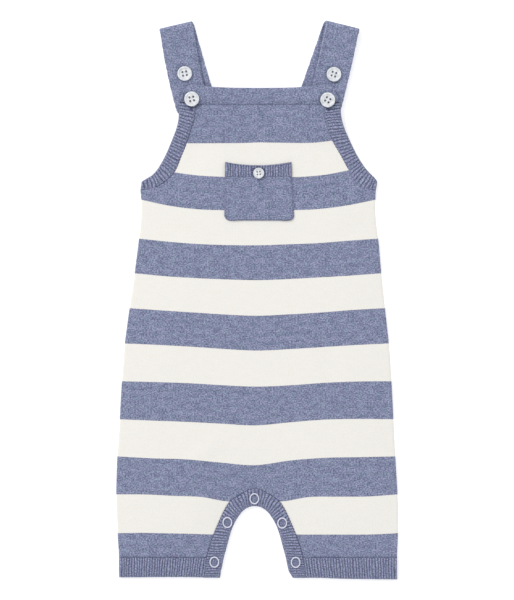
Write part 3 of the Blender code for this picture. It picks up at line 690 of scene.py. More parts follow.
def crotch_lines():
    """The crotch band's seam, run on down its feet, and its free edge."""
    above = WHOLE_ARCH[WHOLE_ARCH[:, 1] > CUFF_SEAM - 0.1]
    feet = [(CROTCH_X + side * FOOT_HALF, float(smooth(LEG_HEM, x))) for side, x in ((-1, -44.0), (1, 41.0))]
    seam = soft_line([feet[0], *[tuple(p) for p in above[::10]], feet[1]], 480)
    edge = both_legs([(half, y) for y, half in CROTCH_EDGE])
    edge[:, 0] += FOOT_LEAN * fade((edge[:, 1] - CROTCH_EDGE[-1][0]) / 6.0)
    return seam, edge


def cuff_lines(side):
    """A cuff's seam and its hem, from the crotch band out to the side seam."""
    seam_in = float(along(ARCH_LINE[side], share_at(ARCH_LINE[side], CUFF_SEAM))[0])
    low = float(smooth(LEG_HEM, side * 80.0))
    top_out, low_out = (float(lean(y)) + side * float(half_width(y)) for y in (CUFF_SEAM, low))
    seam = soft_line([(x, CUFF_SEAM + 0.1) for x in (seam_in - side * CUFF_GAP, top_out)])
    hem = np.linspace(CROTCH_X + side * (FOOT_HALF - CUFF_GAP), low_out, 9)
    return seam, soft_line([(x, float(smooth(LEG_HEM, x))) for x in hem])


# ---- straps ----
def strap_place(strip):
    """The way from a strap's own map, across and along, to its place."""
    front, back, tilt = (radians(a) for a in (strip.front_slant, strip.back_slant, strip.tilt))
    half = STRAP_WALL / 2
    bulge = FOLD_RADIUS + half
    out = np.array((sin(tilt), cos(tilt)))
    corner = np.array((strip.corner_x, strip.corner_y)) - out * bulge
    inward = np.array((-cos(tilt), sin(tilt)))
    fold = (corner, corner + inward * strip.width)
    skewed = (corner, corner + inward * (strip.width + strip.skew))

    def down(start, slant, height):
        return np.array((start[0] - (start[1] - height) * tan(slant), height))

    end_rise = strip.width * sin(front)
    end = (down(fold[0], front, STRAP_END), down(fold[1], front, STRAP_END + end_rise))
    neck = BACK_NECK + GAP
    foot = (down(skewed[0], back, neck), down(skewed[1], back, neck))
    low, high = half, half + 2 * FOLD_RADIUS
    front_length = float(np.hypot(*(fold[0] - end[0])))
    back_length = float(np.hypot(*(foot[0] - skewed[0])))
    turn_length = pi * FOLD_RADIUS

    def place(across, ahead, height):
        """across 0 to 1 from the outer edge, ahead in millimetres from the front end."""
        on_front_half = np.clip(ahead / front_length, 0.0, 1.0)
        angle = np.clip((ahead - front_length) / turn_length, 0.0, 1.0) * pi
        on_back = np.clip((ahead - front_length - turn_length) / back_length, 0.0, 1.0)
        on_fold = (angle / pi)[:, None]
        a, b = (
            end[i]
            + (fold[i] - end[i]) * on_front_half[:, None]
            + (skewed[i] - fold[i]) * on_fold
            + (foot[i] - skewed[i]) * on_back[:, None]
            for i in (0, 1)
        )
        spot = a + (b - a) * across[:, None]
        spot[:, 0] += strip.bow * 4 * on_front_half * (1 - on_front_half)
        lift = fade((fold[0][1] - a[:, 1]) / LIFT_LENGTH)
        seat = strap_seat(a[:, 1]) + half
        z = seat + (high - seat) * lift
        reach = FOLD_RADIUS * np.sin(angle)
        z = np.where(angle > 0, (low + high) / 2 + FOLD_RADIUS * np.cos(angle), z)
        side_reach = reach + np.sin(angle) * height
        x = (spot[:, 0] + out[0] * side_reach) * strip.side
        y = spot[:, 1] + out[1] * side_reach
        # the fold pinches the back half's inner side, beside the front half's edge
        front_edge = fold[1][0] - (fold[1][1] - y) * tan(front)
        beside = fade(np.abs(x * strip.side - front_edge + 0.7) / 1.3) * fade((fold[1][1] - y) / 32.0)
        pinch = np.where((angle == pi) & (height < 0), strip.pinch * beside, 0.0)
        return x, y, z + np.cos(angle) * height - np.where(angle > 0, pinch, dent(x, y))

    return place, front_length, turn_length, back_length


def strap_patch(strip, lengths):
    front, turn, back = lengths
    total = front + turn + back
    ahead = np.concatenate([
        [0.0, 0.3, 0.8],
        np.linspace(1.6, front - 0.5, 48),
        np.linspace(front, front + turn, 13),
        np.linspace(front + turn + 1.0, total - 1.0, 34),
        [total],
    ])
    across = stations(20, (0.01, 0.028, 0.055))
    grid_a, grid_l = np.meshgrid(across, ahead)
    round_off = END_CORNER - np.sqrt(END_CORNER**2 - np.clip(END_CORNER - grid_l, 0.0, END_CORNER) ** 2)
    grid_a = grid_a + (1.0 - 2.0 * grid_a) * round_off / strip.width
    outer, inward = grid_a * strip.width - round_off, (1.0 - grid_a) * strip.width - round_off
    thin = STRAP_WALL / 2 - 0.28
    thick = STRAP_WALL / 2 - roll(outer, 1.1, thin) - roll(inward, strip.round_by, thin)
    thick = thick - roll(np.minimum(grid_l, total - grid_l), 1.0, 0.5)
    selvedge = 0.6 * fade(np.abs(inward - strip.round_by - 0.2) / 1.1) * fade((grid_l - front + 2.0) / 4.0)
    softness = 0.12 * np.sin(2 * pi * (grid_l / 37.0 + 0.3 * strip.side)) * np.sin(pi * grid_a)
    softness = softness * fade((grid_l - front + 8.0) / 8.0)
    u = grid_a * strip.width * strip.side
    return Patch(grid_a, grid_l, u, grid_l, thick + softness + selvedge, -thick)


# ---- pocket ----
def pocket_edge(y, half, share):
    """x at a share of the pocket's half width; the pocket leans a little."""
    shift = POCKET_LEAN * (POCKET_SEAM - y) / (POCKET_SEAM - POCKET_BOTTOM)
    return POCKET_X + np.maximum(shift, 0.0) + half * share


def pocket_patch():
    """The pocket from its rib down, its lower corners rounded off."""
    even = np.linspace(-1, 1, 49)
    shares = np.sign(even) * (1 - (1 - np.abs(even)) ** 1.15)
    drop = POCKET_SEAM + POCKET_LAP - POCKET_BOTTOM
    low = drop - np.array([5.0, 4.0, 3.1, 2.3, 1.6, 1.0, 0.5, 0.2, 0.0])
    depths = np.concatenate([[0.0, 0.4, 1.0], np.linspace(2.0, drop - 6.0, 16), low])
    rows = []
    for depth in depths:
        y = POCKET_SEAM + POCKET_LAP - depth
        half = POCKET_HALF[1] + (POCKET_HALF[2] - POCKET_HALF[1]) * depth / drop
        left = max(POCKET_CORNER - (y - POCKET_BOTTOM), 0.0)
        half -= POCKET_CORNER - (POCKET_CORNER**2 - left**2) ** 0.5
        x = pocket_edge(y, half, shares)
        from_edge = np.minimum((1 - np.abs(shares)) * half, drop - depth)
        wall = JERSEY - roll(from_edge, 1.2, JERSEY - 0.3) - roll(np.full_like(shares, depth), 0.8, 0.25)
        rows.append((x, np.full_like(x, y), x, np.full_like(x, depth), wall))
    x, y, u, v, wall = (np.array([row[k] for row in rows]) for k in range(5))
    return Patch(x, y, u, v, wall, np.zeros_like(x))


def pocket_rib_lines():
    """The seam and the bowed opening of the pocket's ribbed top."""
    shares = np.linspace(-1.0, 1.0, 13)
    ends, middle = POCKET_TOP
    opening = [
        (float(pocket_edge(ends, POCKET_HALF[0], s)), middle + (ends - middle) * s * s) for s in shares
    ]
    seam = [(float(pocket_edge(POCKET_SEAM, POCKET_HALF[1], s)), POCKET_SEAM) for s in (-1.0, 1.0)]
    return soft_line(seam), soft_line(opening)


def pocket_place(x, y, height):
    return x, y, on_front(x, y) + POCKET_SEAT + height - dent(x, y)


# ---- bib hem ----
def hem_patch():
    """The turned double hem, between its folded top edge and its seam to the bib."""
    sections = [(-1, s) for s in BIB_HEM[:0:-1]] + [(1, s) for s in BIB_HEM]
    tops, bottoms = (
        soft_line([(float(lean(row[k + 1])) + side * row[k], row[k + 1]) for side, row in sections])
        for k in (0, 2)
    )
    t = stations(96, (0.0015, 0.004, 0.008, 0.0125))
    down = np.array([0.0, 0.012, 0.035, 0.07, 0.12, 0.2, 0.32, 0.46, 0.6, 0.72, 0.82, 0.9, 0.95, 0.98, 1.0])
    down = down[:, None]
    a, b = along(tops, t), along(bottoms, t)
    x = a[:, 0] + (b[:, 0] - a[:, 0]) * down
    y = a[:, 1] + (b[:, 1] - a[:, 1]) * down
    tall = np.hypot(*(a - b).T)
    from_top, from_seam = down * tall, (1 - down) * tall
    from_end = np.minimum(t, 1 - t) * length_of(tops)
    wall = JERSEY + (HEM_WALL - JERSEY) * (1 - fade(from_seam / 4.5))
    wall = wall - SEAM_TROUGH * fade((from_seam + 0.5) / TROUGH_HALF)
    half = HEM_WALL / 2
    over = wall - roll(from_top, 1.2, half - 0.15) - roll(from_end + 0 * down, 1.2, half - 0.4)
    under = roll(from_top, 1.5, half - 0.15) + roll(from_end + 0 * down, 1.2, 0.8)
    under = np.minimum(under, over - 0.2)
    return Patch(x, y, x.copy(), BIB_SEAM - y, over, under)


# ---- materials ----
def linear(code):
    """A hex sRGB colour as linear red, green, blue and alpha."""
    parts = [int(code[i : i + 2], 16) / 255 for i in (0, 2, 4)]
    return tuple(c / 12.92 if c <= 0.04045 else ((c + 0.055) / 1.055) ** 2.4 for c in parts) + (1.0,)


SKIP = (None,) * 5  # a Mix node's inputs between its factor and its two colours


def add(tree, kind, *feeds, out=0, **settings):
    """Adds a node with its settings, and feeds its inputs in their order.  A Math
    node's operation, or a colour Mix's blend, follows its kind after a colon."""
    kind, _, way = kind.partition(":")
    node = tree.nodes.new("ShaderNode" + kind)
    if way and kind == "Mix":
        node.data_type, node.blend_type, out = "RGBA", way, 2
    elif way:
        node.operation = way
    for name, value in settings.items():
        setattr(node, name, value)
    for socket, feed in zip(node.inputs, feeds):
        if isinstance(feed, bpy.types.NodeSocket):
            tree.links.new(feed, socket)
        elif feed is not None:
            socket.default_value = feed
    return node.outputs[out]


def begin(name, roughness, sheen=0.0, specular=0.5, coat=0.0):
    """A new Principled material and its tree."""
    material = bpy.data.materials.new(name)
    material.use_nodes = True
    tree = material.node_tree
    shader = tree.nodes["Principled BSDF"]
    shader.inputs["Roughness"].default_value = roughness
    shader.inputs["Sheen Weight"].default_value = sheen
    shader.inputs["Sheen Roughness"].default_value = 0.5
    shader.inputs["Specular IOR Level"].default_value = specular
    shader.inputs["Coat Weight"].default_value = coat
    return material, tree, shader


def stitches(tree, u, v, wale, course):
    """Relief of plain knit: in each wale two legs slant to a V, course on course."""
    a = add(tree, "Math:FRACT", add(tree, "Math:MULTIPLY", u, 1.0 / wale))
    leg = add(tree, "Math:ABSOLUTE", add(tree, "Math:MULTIPLY_ADD", a, 2.0, -1.0))
    row = add(tree, "Math:MULTIPLY", v, 1.0 / course)
    row = add(tree, "Math:MULTIPLY_ADD", leg, -0.85, row)
    strand = add(tree, "Math:MULTIPLY", add(tree, "Math:FRACT", row), pi)
    strand = add(tree, "Math:SINE", strand)
    across = add(tree, "Math:SINE", add(tree, "Math:MULTIPLY", leg, pi))
    across = add(tree, "Math:POWER", across, 0.5)
    return add(tree, "Math:MULTIPLY", strand, across), leg


YARNS = {  # melange yarn: darkest fibre, body, lightest fibre
    "blue": ("646989", "8F95B2", "B7BCD8"),
    "cream": ("F4F1EB", "F7F5EF", "F9F7F3"),
    "rib": ("606483", "878BA8", "AEB2CC"),
}
BROAD = 0.27  # weight of the yarn's slow changes beside its speckles
TINTS = ("EAFFF7", "FFF1FF")  # where one or the other fibre of the melange gathers
FINE, SLOW, GATHERED, FUZZ = (1.34, 0.96), (7.5, 3.8), (5.5, 3.8), (0.25, 0.25)  # blots' sizes


def yarn_colour(tree, name, grain):
    """The yarn's fibres, mixed along it."""
    dark, body, light = (linear(code) for code in YARNS[name])
    ramp = tree.nodes.new("ShaderNodeValToRGB")
    ramp.color_ramp.elements[0].position = 0.29
    ramp.color_ramp.elements[0].color = dark
    ramp.color_ramp.elements[1].position = 0.71
    ramp.color_ramp.elements[1].color = light
    ramp.color_ramp.elements.new(0.5).color = body
    tree.links.new(grain, ramp.inputs[0])
    return ramp.outputs[0]


def speckle(tree, place, wide, tall, detail=2.0, roughness=0.62):
    """Noise in blots of the given size on the knit map."""
    at = add(tree, "Mapping", place, None, None, (1 / wide, 1 / tall, 1.0))
    return add(tree, "TexNoise", at, None, 1.0, detail, roughness, noise_dimensions="2D")


# All the cloth is cotton knit.  Its stitches are real relief in the bump; a real wale
# here is about 0.9 mm wide and would fall between the picture's pixels, so wales and
# courses are drawn coarser (WALE, COURSE), as coarse as the photo still shows them.
def knitted(name, yarn, stripes=(), wale=WALE, course=COURSE, relief=0.28, shade=0.25, furrow=0.0):
    """Cotton knit, matt with a faint bloom of loose fibres, its colour darkened between the
    stitches as painted shade.  stripes gives the knit heights at which the yarn changes,
    blue first; furrow paints shade into the wales' borders."""
    material, tree, shader = begin(name, 0.93, sheen=0.22, specular=0.22)
    place = add(tree, "UVMap", uv_map="knit")
    split = tree.nodes.new("ShaderNodeSeparateXYZ")
    tree.links.new(place, split.inputs[0])
    u, v = split.outputs[0], split.outputs[1]
    height, leg = stitches(tree, u, v, wale, course)
    fine = speckle(tree, place, *FINE)
    broad = speckle(tree, place, *SLOW, roughness=0.5)
    weight = BROAD * (0.5 if furrow else 1.0)
    grain = add(tree, "Math:ADD", fine, weight * -0.5)
    grain = add(tree, "Math:MULTIPLY_ADD", broad, weight, grain)
    colour = yarn_colour(tree, yarn, grain)
    hue = speckle(tree, place, *GATHERED, roughness=0.6)
    ends = (linear(code) for code in TINTS)
    tint = add(tree, "Mix:MIX", hue, *SKIP, *ends)
    colour = add(tree, "Mix:MULTIPLY", 1.0, *SKIP, colour, tint)
    # painted shade: the colour darkens where the stitches' relief is low, by the amount in shade
    depth = add(tree, "Math:MULTIPLY_ADD", height, shade, 1.0 - shade * 0.62)
    # painted shade: the colour darkens towards each rib's furrow, as strongly as the rib's ridge stands
    if furrow:
        groove = add(tree, "Math:POWER", leg, 1.6)
        groove = add(tree, "Math:MULTIPLY_ADD", groove, -furrow, furrow * 0.42)
        ridge = add(tree, "Attribute", out=2, attribute_name="ridge")
        groove = add(tree, "Math:MULTIPLY_ADD", groove, ridge, 1.0)
        depth = add(tree, "Math:MULTIPLY", depth, groove)
    relief_share = height
    if stripes:
        jag = add(tree, "Math:MULTIPLY_ADD", height, -0.25, v)
        cream = yarn_colour(tree, "cream", grain)
        total = None
        for number, edge in enumerate(stripes):
            past = add(tree, "Math:GREATER_THAN", jag, edge)
            signed = add(tree, "Math:MULTIPLY", past, 1.0 if number % 2 == 0 else -1.0)
            total = signed if total is None else add(tree, "Math:ADD", total, signed)
        colour = add(tree, "Mix:MIX", total, *SKIP, colour, cream)
        # light yarn scatters light round its stitches, so the painted shade between them is weaker on the
        # cream
        paler = add(tree, "Math:MULTIPLY", total, 0.85)
        depth = add(tree, "Mix", paler, None, depth, 1.0)
        relief_share = add(tree, "Math:MULTIPLY_ADD", total, -0.75, 1.0)
        relief_share = add(tree, "Math:MULTIPLY", relief_share, height)
    colour = add(tree, "Mix:MULTIPLY", 1.0, *SKIP, colour, depth)
    tree.links.new(colour, shader.inputs["Base Color"])
    fuzz = speckle(tree, place, *FUZZ)
    surface = add(tree, "Math:MULTIPLY_ADD", fuzz, 0.3, relief_share)
    bump = add(tree, "Bump", 0.6, relief * MM, None, surface)
    tree.links.new(bump, shader.inputs["Normal"])
    return material


def stripe_heights():
    """Knit heights of the stripes' edges, on the same count as the rows."""
    edges, knit = [], 0.0
    for courses in COURSES, LEG_COURSES:
        for a, b in zip(courses, courses[1:]):
            if a.cream_below != (len(edges) % 2 == 1):
                edges.append(knit)
            knit += knit_between(a, b)
    return edges


# The body panels: plain-knit jersey that changes yarn at the stripes.  Its blue is a
# melange spun from dark, mid and pale fibres, so it speckles course by course; the
# cream is one undyed yarn, which scatters light and so looks smooth and even.
striped = knitted("striped cotton jersey", "blue", stripes=stripe_heights())
# Straps, bib hem and pocket: the same blue melange jersey, doubled where it is folded.
plain_jersey = knitted("blue melange cotton jersey", "blue")
# The bands: 1x1 rib from the same yarn, knitted tighter and so a little darker.  The
# ribs themselves are modelled; the material paints shade into the furrows between them,
# where the purl wales fall back and hardly any light comes in.
ribbed = knitted("blue melange cotton rib", "rib", wale=RIB_WALE, course=1.1, furrow=0.88)

# Cast polyester, turned and tumbled to a gloss.  A pearl pigment clouds the white, and
# the polish gives small clear highlights on the rim and the dish.
pearl, tree, shader = begin("pearl white polyester button", 0.28, specular=0.5, coat=0.4)
place = add(tree, "TexCoord", out=3)
cloud_at = add(tree, "Mapping", place, None, None, (400.0, 400.0, 400.0))
cloud = add(tree, "TexNoise", cloud_at, None, 1.0, 3.0, 0.5)
shell = tree.nodes.new("ShaderNodeValToRGB")
shell.color_ramp.elements[0].position = 0.35
shell.color_ramp.elements[0].color = linear("D3D8DC")
shell.color_ramp.elements[1].position = 0.65
shell.color_ramp.elements[1].color = linear("F4F6FB")
tree.links.new(cloud, shell.inputs[0])
tree.links.new(shell.outputs[0], shader.inputs["Base Color"])

# Pressed steel rings under a baked enamel with a breath of lilac: a hard soft-edged
# shine, and a skin that is very slightly pitted by the baking.
enamel, tree, shader = begin("white enamelled steel ring", 0.3, specular=0.5)
shader.inputs["Base Color"].default_value = linear("E2E4F4")
place = add(tree, "TexCoord", out=3)
pit_at = add(tree, "Mapping", place, None, None, (900.0, 900.0, 900.0))
pits = add(tree, "TexNoise", pit_at, None, 1.0, 2.0, 0.5)
tree.links.new(add(tree, "Bump", 0.15, 0.05 * MM, None, pits), shader.inputs["Normal"])

# Spun polyester sewing thread, darker than the cloth: two plies twisted to a fine
# slanting rope, with a dull silky shine.
thread_blue, tree, shader = begin("blue sewing thread", 0.7, sheen=0.2)
shader.inputs["Base Color"].default_value = linear("474C73")
place = add(tree, "TexCoord", out=3)
ply_at = add(tree, "Mapping", place, None, None, (2600.0, 2600.0, 2600.0))
ply = add(tree, "TexWave", ply_at, 1.0, 0.5, bands_direction="DIAGONAL")
tree.links.new(add(tree, "Bump", 0.3, 0.08 * MM, None, ply), shader.inputs["Normal"])


def dyed(name, colour):
    """The same twisted thread in another colour."""
    thread = thread_blue.copy()
    thread.name = name
    thread.node_tree.nodes["Principled BSDF"].inputs["Base Color"].default_value = linear(colour)
    return thread


# White thread of the same make sews the buttons on.
thread_white = dyed("white sewing thread", "EDEDEA")
# Pale blue yarn for a painted highlight: a light line along the right strap's bent inner edge, where it
# catches the light.
painted_highlight_yarn = dyed("blue yarn painted highlight", "B4B8D4")

SIDES = ((-1, "left"), (1, "right"))
CUFF_CUT = {"left": (0.0725, 0.0165), "right": (0.077, 0.0165)}
ARMHOLE_WIDE = 0.0145
CROTCH_CUT = (0.0145, 0.178)


# ---- the cloth pieces ----
def band(name, lines, ribs, seed, node, flat, rests_on, place=front_place, **form):
    """A ribbed band between its two lines, laid in its place."""
    patch = rib_patch(*lines, ribs, seed, back=place is back_place, **form)
    piece = raise_up(name, [patch], place, ribbed, node)


front = body_patches(COURSES, 78, 2.0)
front = raise_up("front_panel", front, front_place, striped, "front_body")
back_courses = (COURSES[0]._replace(end_y=BACK_NECK, middle_y=BACK_NECK), *COURSES)
back = body_patches(back_courses, 40, 4.0)
back = raise_up("back_panel", back, back_place, striped, "back_body")

hem = raise_up("bib_turned_hem", [hem_patch()], front_place, plain_jersey, "bib_hem")

for side, word in SIDES:
    band(
        "armhole_rib_front_" + word, armhole_lines(side), ARMHOLE_RIBS, 0.2 * side,
        "armhole_band_front_" + word, (ARMHOLE_WIDE, 0.082), "armhole_rib_back_" + word,
        plain=(2.2, 1.2), lag=ARMHOLE_LAG[side],
    )
    band(
        "armhole_rib_back_" + word, armhole_lines(side, top=BACK_NECK), ARMHOLE_RIBS + 3, 0.4 * side,
        "armhole_band_back_" + word, (ARMHOLE_WIDE, 0.090), "floor", place=back_place,
    )
    band(
        "leg_cuff_front_" + word, cuff_lines(side), CUFF_RIBS, 0.7 * side,
        "cuff_front_" + word, CUFF_CUT[word], "leg_cuff_back_" + word, plain=(0.4, 1.4),
    )
    band(
        "leg_cuff_back_" + word, cuff_lines(side), CUFF_RIBS, 0.1 * side,
        "cuff_back_" + word, CUFF_CUT[word], "floor", place=back_place,
    )
band(
    "crotch_rib_front", crotch_lines(), CROTCH_RIBS, 0.35, "crotch_band_front", CROTCH_CUT,
    "crotch_rib_back", plain=(0.6, 4.5), calm_ends=0.04, lag=CROTCH_LAG, with_studs=True,
)
band(
    "crotch_rib_back", crotch_lines(), CROTCH_RIBS, 0.65, "crotch_band_back", CROTCH_CUT,
    "floor", place=back_place,
)

for word, strip in STRAPS.items():
    place, *lengths = strap_place(strip)
    patch = strap_patch(strip, lengths)
    strap = raise_up(
        f"strap_{word}_folded", [patch], place, plain_jersey, "strap_" + word
    )

pocket = raise_up("pocket_patch", [pocket_patch()], pocket_place, plain_jersey, "pocket")
band(
    "pocket_rib_top", pocket_rib_lines(), POCKET_RIBS, 0.5, "pocket_rib", (0.0553, 0.0117),
    "front_panel", place=pocket_place, plain=(0.8, 2.0), lip=0.35,
)


# ---- buttons ----
def settle(thing):
    """Puts a piece's place, turn and size into its mesh."""
    pick([thing])
    bpy.ops.object.transform_apply(location=True, rotation=True, scale=True)


def thread_arc(a, b, top, bottom, radius, material):
    """A thread that comes up at a, lies over and goes down at b."""
    bpy.ops.curve.primitive_bezier_curve_add(location=(0, 0, 0))
    curve = bpy.context.active_object.data
    curve.dimensions = "3D"
    curve.resolution_u = 6
    curve.bevel_depth = radius
    curve.bevel_resolution = 1
    curve.use_fill_caps = True
    points = curve.splines[0].bezier_points
    reach = ((b[0] - a[0]) * 0.1, (b[1] - a[1]) * 0.1)
    for point, spot, way in (points[0], a, 1), (points[1], b, -1):
        point.handle_left_type = point.handle_right_type = "FREE"
        point.co = (spot[0], spot[1], bottom)
        handle = (spot[0] + way * reach[0], spot[1] + way * reach[1], bottom + (top - bottom) * 1.33)
        point.handle_left = point.handle_right = handle
    bpy.ops.object.convert(target="MESH")
    arc = bpy.context.active_object
    arc.data.materials.append(material)
    return arc


def join(parts, name):
    """One mesh of several, under a new name."""
    pick(parts)
    bpy.ops.object.join()
    whole = bpy.context.active_object
    whole.name = whole.data.name = name
    return whole


for node, turn in BUTTON_TURNS.items():
    low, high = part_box(node)
    radius = (high.x - low.x) / 2
    centre = ((low.x + high.x) / 2, (low.y + high.y) / 2, low.z - 0.2 * MM)
    first, base = BUTTON_PROFILE[0]
    bpy.ops.mesh.primitive_circle_add(
        vertices=72, radius=first * radius, fill_type="NGON", location=(0, 0, base * radius)
    )
    disc = bpy.context.active_object
    bpy.ops.object.mode_set(mode="EDIT")
    bpy.ops.mesh.select_all(action="SELECT")
    for (r0, z0), (r1, z1) in zip(BUTTON_PROFILE, BUTTON_PROFILE[1:]):
        bpy.ops.mesh.extrude_region_move(TRANSFORM_OT_translate={"value": (0, 0, (z1 - z0) * radius)})
        bpy.ops.transform.resize(value=(r1 / r0, r1 / r0, 1.0), center_override=(0, 0, z1 * radius))
    face_outwards()
    reach = HOLE_PITCH * 2**0.5 * radius
    ways = [radians(turn) + pi / 4 + i * pi / 2 for i in range(4)]
    spots = [(reach * cos(way), reach * sin(way)) for way in ways]
    rods = []
    for spot in spots:
        bpy.ops.mesh.primitive_cylinder_add(
            vertices=20, radius=HOLE_RADIUS * radius, depth=4 * radius, location=(*spot, 0)
        )
        rods.append(bpy.context.active_object)
    rods = join(rods, node + "_rods")
    pick([disc])
    drill = disc.modifiers.new("holes", "BOOLEAN")
    drill.operation = "DIFFERENCE"
    drill.solver = "EXACT"
    drill.object = rods
    bpy.ops.object.modifier_apply(modifier=drill.name)
    bpy.data.objects.remove(rods)
    disc.location = centre
    settle(disc)
    bpy.ops.object.shade_smooth_by_angle(angle=radians(35))
    disc.name = disc.data.name = node + "_four_hole"
    dress(disc, pearl, node)
    top = BUTTON_FACE * radius + 0.06 * MM
    arcs = []
    for pair in spots[:2], spots[2:]:
        for shift in (-0.35, 0.35):
            off_x, off_y = 0.03 * radius * shift, 0.09 * radius * shift
            a, b = ((x + off_x, y + off_y) for x, y in pair)
            arcs.append(thread_arc(a, b, top, 0.02 * MM, 0.1 * MM, thread_white))
    threads = join(arcs, node + "_thread")
    threads.location = centre
    settle(threads)
    bpy.ops.object.shade_smooth()
    dress(threads, thread_white)

# ---- press-stud rings ----
for node in RINGS:
    low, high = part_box(node)
    radius, wire = (high.x - low.x) / 2, RING_WIRE * MM
    bpy.ops.mesh.primitive_torus_add(
        location=((low.x + high.x) / 2, (low.y + high.y) / 2, (low.z + high.z) / 2 - 0.15 * MM),
        major_segments=64, minor_segments=14, major_radius=radius - wire, minor_radius=wire,
    )
    ring = bpy.context.active_object
    ring.scale.x = RING_OVAL
    settle(ring)
    bpy.ops.object.shade_smooth()
    ring.name = ring.data.name = node + "_enamelled"
    dress(ring, enamel, node)


# ---- stitching ----
def stitch_row(name, line, pitch, long, height, sink=0.0, radius=0.22, material=thread_blue):
    """Thread stitches end to end along a line of plan points on a surface."""
    count = int(length_of(line) / pitch)
    shares = (np.arange(count) + 0.5) / count
    spots = along(line, shares)
    ahead = along(line, shares + 0.002) - along(line, shares - 0.002)
    tops = height(spots[:, 0], spots[:, 1])
    ends = (-long / 2 * MM, 0), (long / 2 * MM, 0)
    master = thread_arc(*ends, 0.18 * MM, -0.35 * MM, radius * MM, material)
    dashes = []
    for spot, way, top in zip(spots, ahead, tops):
        dash = master.copy()
        dash.data = master.data.copy()
        bpy.context.collection.objects.link(dash)
        dash.location = ((spot[0] - CENTRE[0]) * MM, (spot[1] - CENTRE[1]) * MM, (top - sink) * MM)
        dash.rotation_euler.z = np.arctan2(way[1], way[0])
        dashes.append(dash)
    bpy.data.objects.remove(master)
    row = join(dashes, name)
    settle(row)
    bpy.ops.object.shade_smooth()
    dress(row, material)


def buttonhole(node, turn, long, shift, height):
    """Close satin stitch round a slit, drawn as one corded oval."""
    at_x, at_y = round_piece(node)[:2]
    middle = at_x + shift[0], at_y + shift[1]
    bpy.ops.mesh.primitive_torus_add(
        major_segments=32, minor_segments=10, major_radius=0.6 * MM, minor_radius=0.4 * MM
    )
    oval = bpy.context.active_object
    spots = np.array([vert.co[:] for vert in oval.data.vertices])
    spots[:, 0] += np.sign(np.round(spots[:, 0], 7)) * (long / 2 - 1.0) * MM
    x = spots[:, 0] * cos(turn) - spots[:, 1] * sin(turn)
    y = spots[:, 0] * sin(turn) + spots[:, 1] * cos(turn)
    z = spots[:, 2] * 0.8 + height(x / MM + middle[0], y / MM + middle[1]) * MM
    spots = np.stack([x + (middle[0] - CENTRE[0]) * MM, y + (middle[1] - CENTRE[1]) * MM, z], axis=1)
    oval.data.vertices.foreach_set("co", spots.ravel())
    oval.data.update()
    bpy.ops.object.shade_smooth()
    oval.name = oval.data.name = node.replace("button_", "buttonhole_")
    dress(oval, thread_blue)


def on_bib(x, y):
    return on_front(x, y) - SEAM_TROUGH * fade(np.abs(y - BIB_SEAM + 0.4) / TROUGH_HALF)


def on_hem(x, y):
    return inner(x, y) + HEM_WALL - dent(x, y)


def on_ribs(x, y):
    return on_front(x, y) + 0.1


def on_pocket(x, y):
    return on_front(x, y) + POCKET_SEAT + JERSEY - 0.1


def on_pocket_rib(x, y):
    return on_front(x, y) + POCKET_SEAT + RIB_BASE + 0.75


# The first and the last point of the seam's line that show, and the thread's radius.
ARMHOLE_STITCHES = {-1: (16, 208, 0.28), 1: (16, 150, 0.17)}
hem_line = soft_line([(float(lean(160.0)) + s * 50.0, BIB_SEAM - 0.4) for s in np.linspace(-1, 1, 9)])
stitch_row("bib_hem_stitching", hem_line, 2.4, 1.5, on_bib, radius=0.26)
BIB_CORNER = ((60.0, 176.0), (62.6, 172.0), (64.6, 167.5), (65.2, 162.5))
for side, word in SIDES:
    corner = soft_line([(float(lean(y)) + side * x, y) for x, y in BIB_CORNER])
    stitch_row("bib_corner_stitching_" + word, corner, 2.2, 1.3, on_hem, sink=0.1, radius=0.16)
    seam = cuff_lines(side)[0]
    stitch_row("leg_cuff_stitching_" + word, seam, 2.25, 1.4, on_ribs, sink=0.3, radius=0.18)
    first, last, radius = ARMHOLE_STITCHES[side]
    seam = ARM_LINE[side][first:last]
    stitch_row("armhole_stitching_" + word, seam, 2.5, 1.6, on_ribs, sink=0.2, radius=radius)
stitch_row("crotch_seam_stitching", crotch_lines()[0], 2.4, 1.3, on_ribs, sink=0.2, radius=0.3)
low = POCKET_BOTTOM + 1.0
down = ((84.0, 28.4), (72.0, 29.0), (low + 2.2, 29.1), (low, 26.8), (low, 14.0))
down = ((POCKET_SEAM, POCKET_HALF[1]), *down)
around = [(y, half, -1) for y, half in down] + [(low, 0.0, 1)] + [(y, half, 1) for y, half in down[::-1]]
around = soft_line([(float(pocket_edge(y, half - 1.0, s)), y) for y, half, s in around], 480)
stitch_row("pocket_edge_stitching", around, 2.2, 1.5, on_pocket, sink=0.1, radius=0.22)
# the right strap's inner selvedge, a chain of pale loops: a painted highlight where the edge turns to the
# light
place, *lengths = strap_place(STRAPS["right"])
ahead = np.linspace(lengths[0] * 0.5, lengths[0] - 1.0, 60)
across = np.full_like(ahead, 1.0 - 0.9 / STRAPS["right"].width)
x, y, z = place(across, ahead, np.full_like(ahead, STRAP_WALL / 2))
stitch_row(
    "strap_edge_painted_highlight_right", soft_line(np.stack([x, y], axis=1)), 2.0, 1.4,
    lambda _, height: np.interp(height, y, z), sink=0.05, radius=0.26, material=painted_highlight_yarn,
)
mouth = pocket_rib_lines()[1] + np.array((0.0, -1.2))
stitch_row("pocket_mouth_stitching", mouth, 2.25, 1.6, on_pocket_rib, sink=0.5, radius=0.24)
buttonhole("button_lower_left", pi / 2, 15.5, (-0.6, -1.6), on_hem)
buttonhole("button_lower_right", pi / 2, 15.5, (0.6, -1.4), on_hem)
buttonhole("button_pocket", 0.0, 11.5, (-0.2, 3.1), on_pocket_rib)

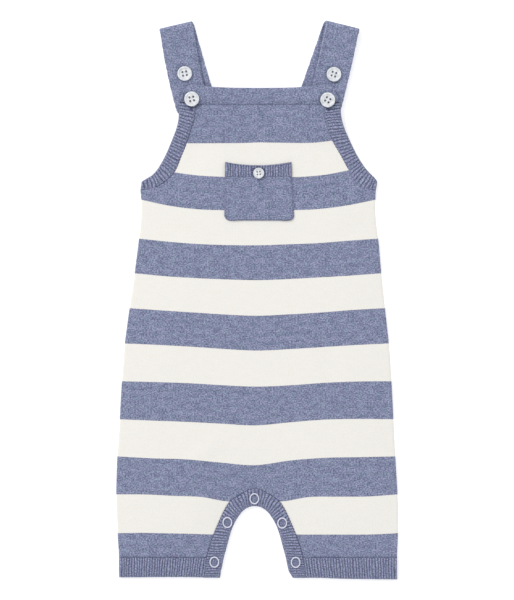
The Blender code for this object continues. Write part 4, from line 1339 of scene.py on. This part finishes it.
# ---- stage ----
bpy.ops.mesh.primitive_plane_add(size=6.0, location=(0, 0, -0.0002))
floor = bpy.context.active_object
floor.name = floor.data.name = "floor"
# Matt photo-studio paper: plain white, with hardly any shine, lit a little from below.
paper, tree, shader = begin("white paper sweep", 0.9, specular=0.1)
shader.inputs["Base Color"].default_value = linear("F7F7F7")
shader.inputs["Emission Color"].default_value = linear("FFFFFF")
shader.inputs["Emission Strength"].default_value = 0.4
floor.data.materials.append(paper)

world = bpy.data.worlds.new("studio")
bpy.context.scene.world = world
world.use_nodes = True
world.node_tree.nodes["Background"].inputs["Color"].default_value = (1.0, 1.0, 1.0, 1.0)
world.node_tree.nodes["Background"].inputs["Strength"].default_value = 0.63

LAMPS = (  # place, size, power, colour
    ((-2.4, 2.6, 3.2), 1.5, 91.0, "FFFDFA"),
    ((2.4, -1.1, 3.2), 2.8, 21.0, "FAFBFF"),
)
for spot, size, power, colour in LAMPS:
    bpy.ops.object.light_add(type="AREA", location=spot)
    lamp = bpy.context.active_object
    lamp.data.size = size
    lamp.data.energy = power
    lamp.data.color = linear(colour)[:3]
    way = np.array(spot) / np.linalg.norm(spot)
    lamp.rotation_euler = (float(np.arccos(way[2])), 0.0, float(np.arctan2(way[0], -way[1])))

# ---- camera: straight above, with a long lens, for 600 of the photo's pixels ----
CAMERA_HEIGHT = 3.0
PIXEL = 0.83
VIEW_TALL = 600 * PIXEL * MM
PHOTO_MIDDLE = -0.29  # the height of the picture's middle in the tables' frame
SENSOR = 36.0
FRONT_TOP = 0.004  # the front's height over the floor, where the scale has to hold
place = (-CENTRE[0] * MM, (PHOTO_MIDDLE - CENTRE[1]) * MM, CAMERA_HEIGHT)
bpy.ops.object.camera_add(location=place, rotation=(0, 0, 0))
camera = bpy.context.active_object
camera.data.sensor_width = SENSOR
camera.data.lens = SENSOR * (CAMERA_HEIGHT - FRONT_TOP) / VIEW_TALL
camera.data.clip_end = 20.0
bpy.context.scene.camera = camera
bpy.context.scene.view_settings.view_transform = "Standard"
bpy.context.scene.view_settings.look = "None"
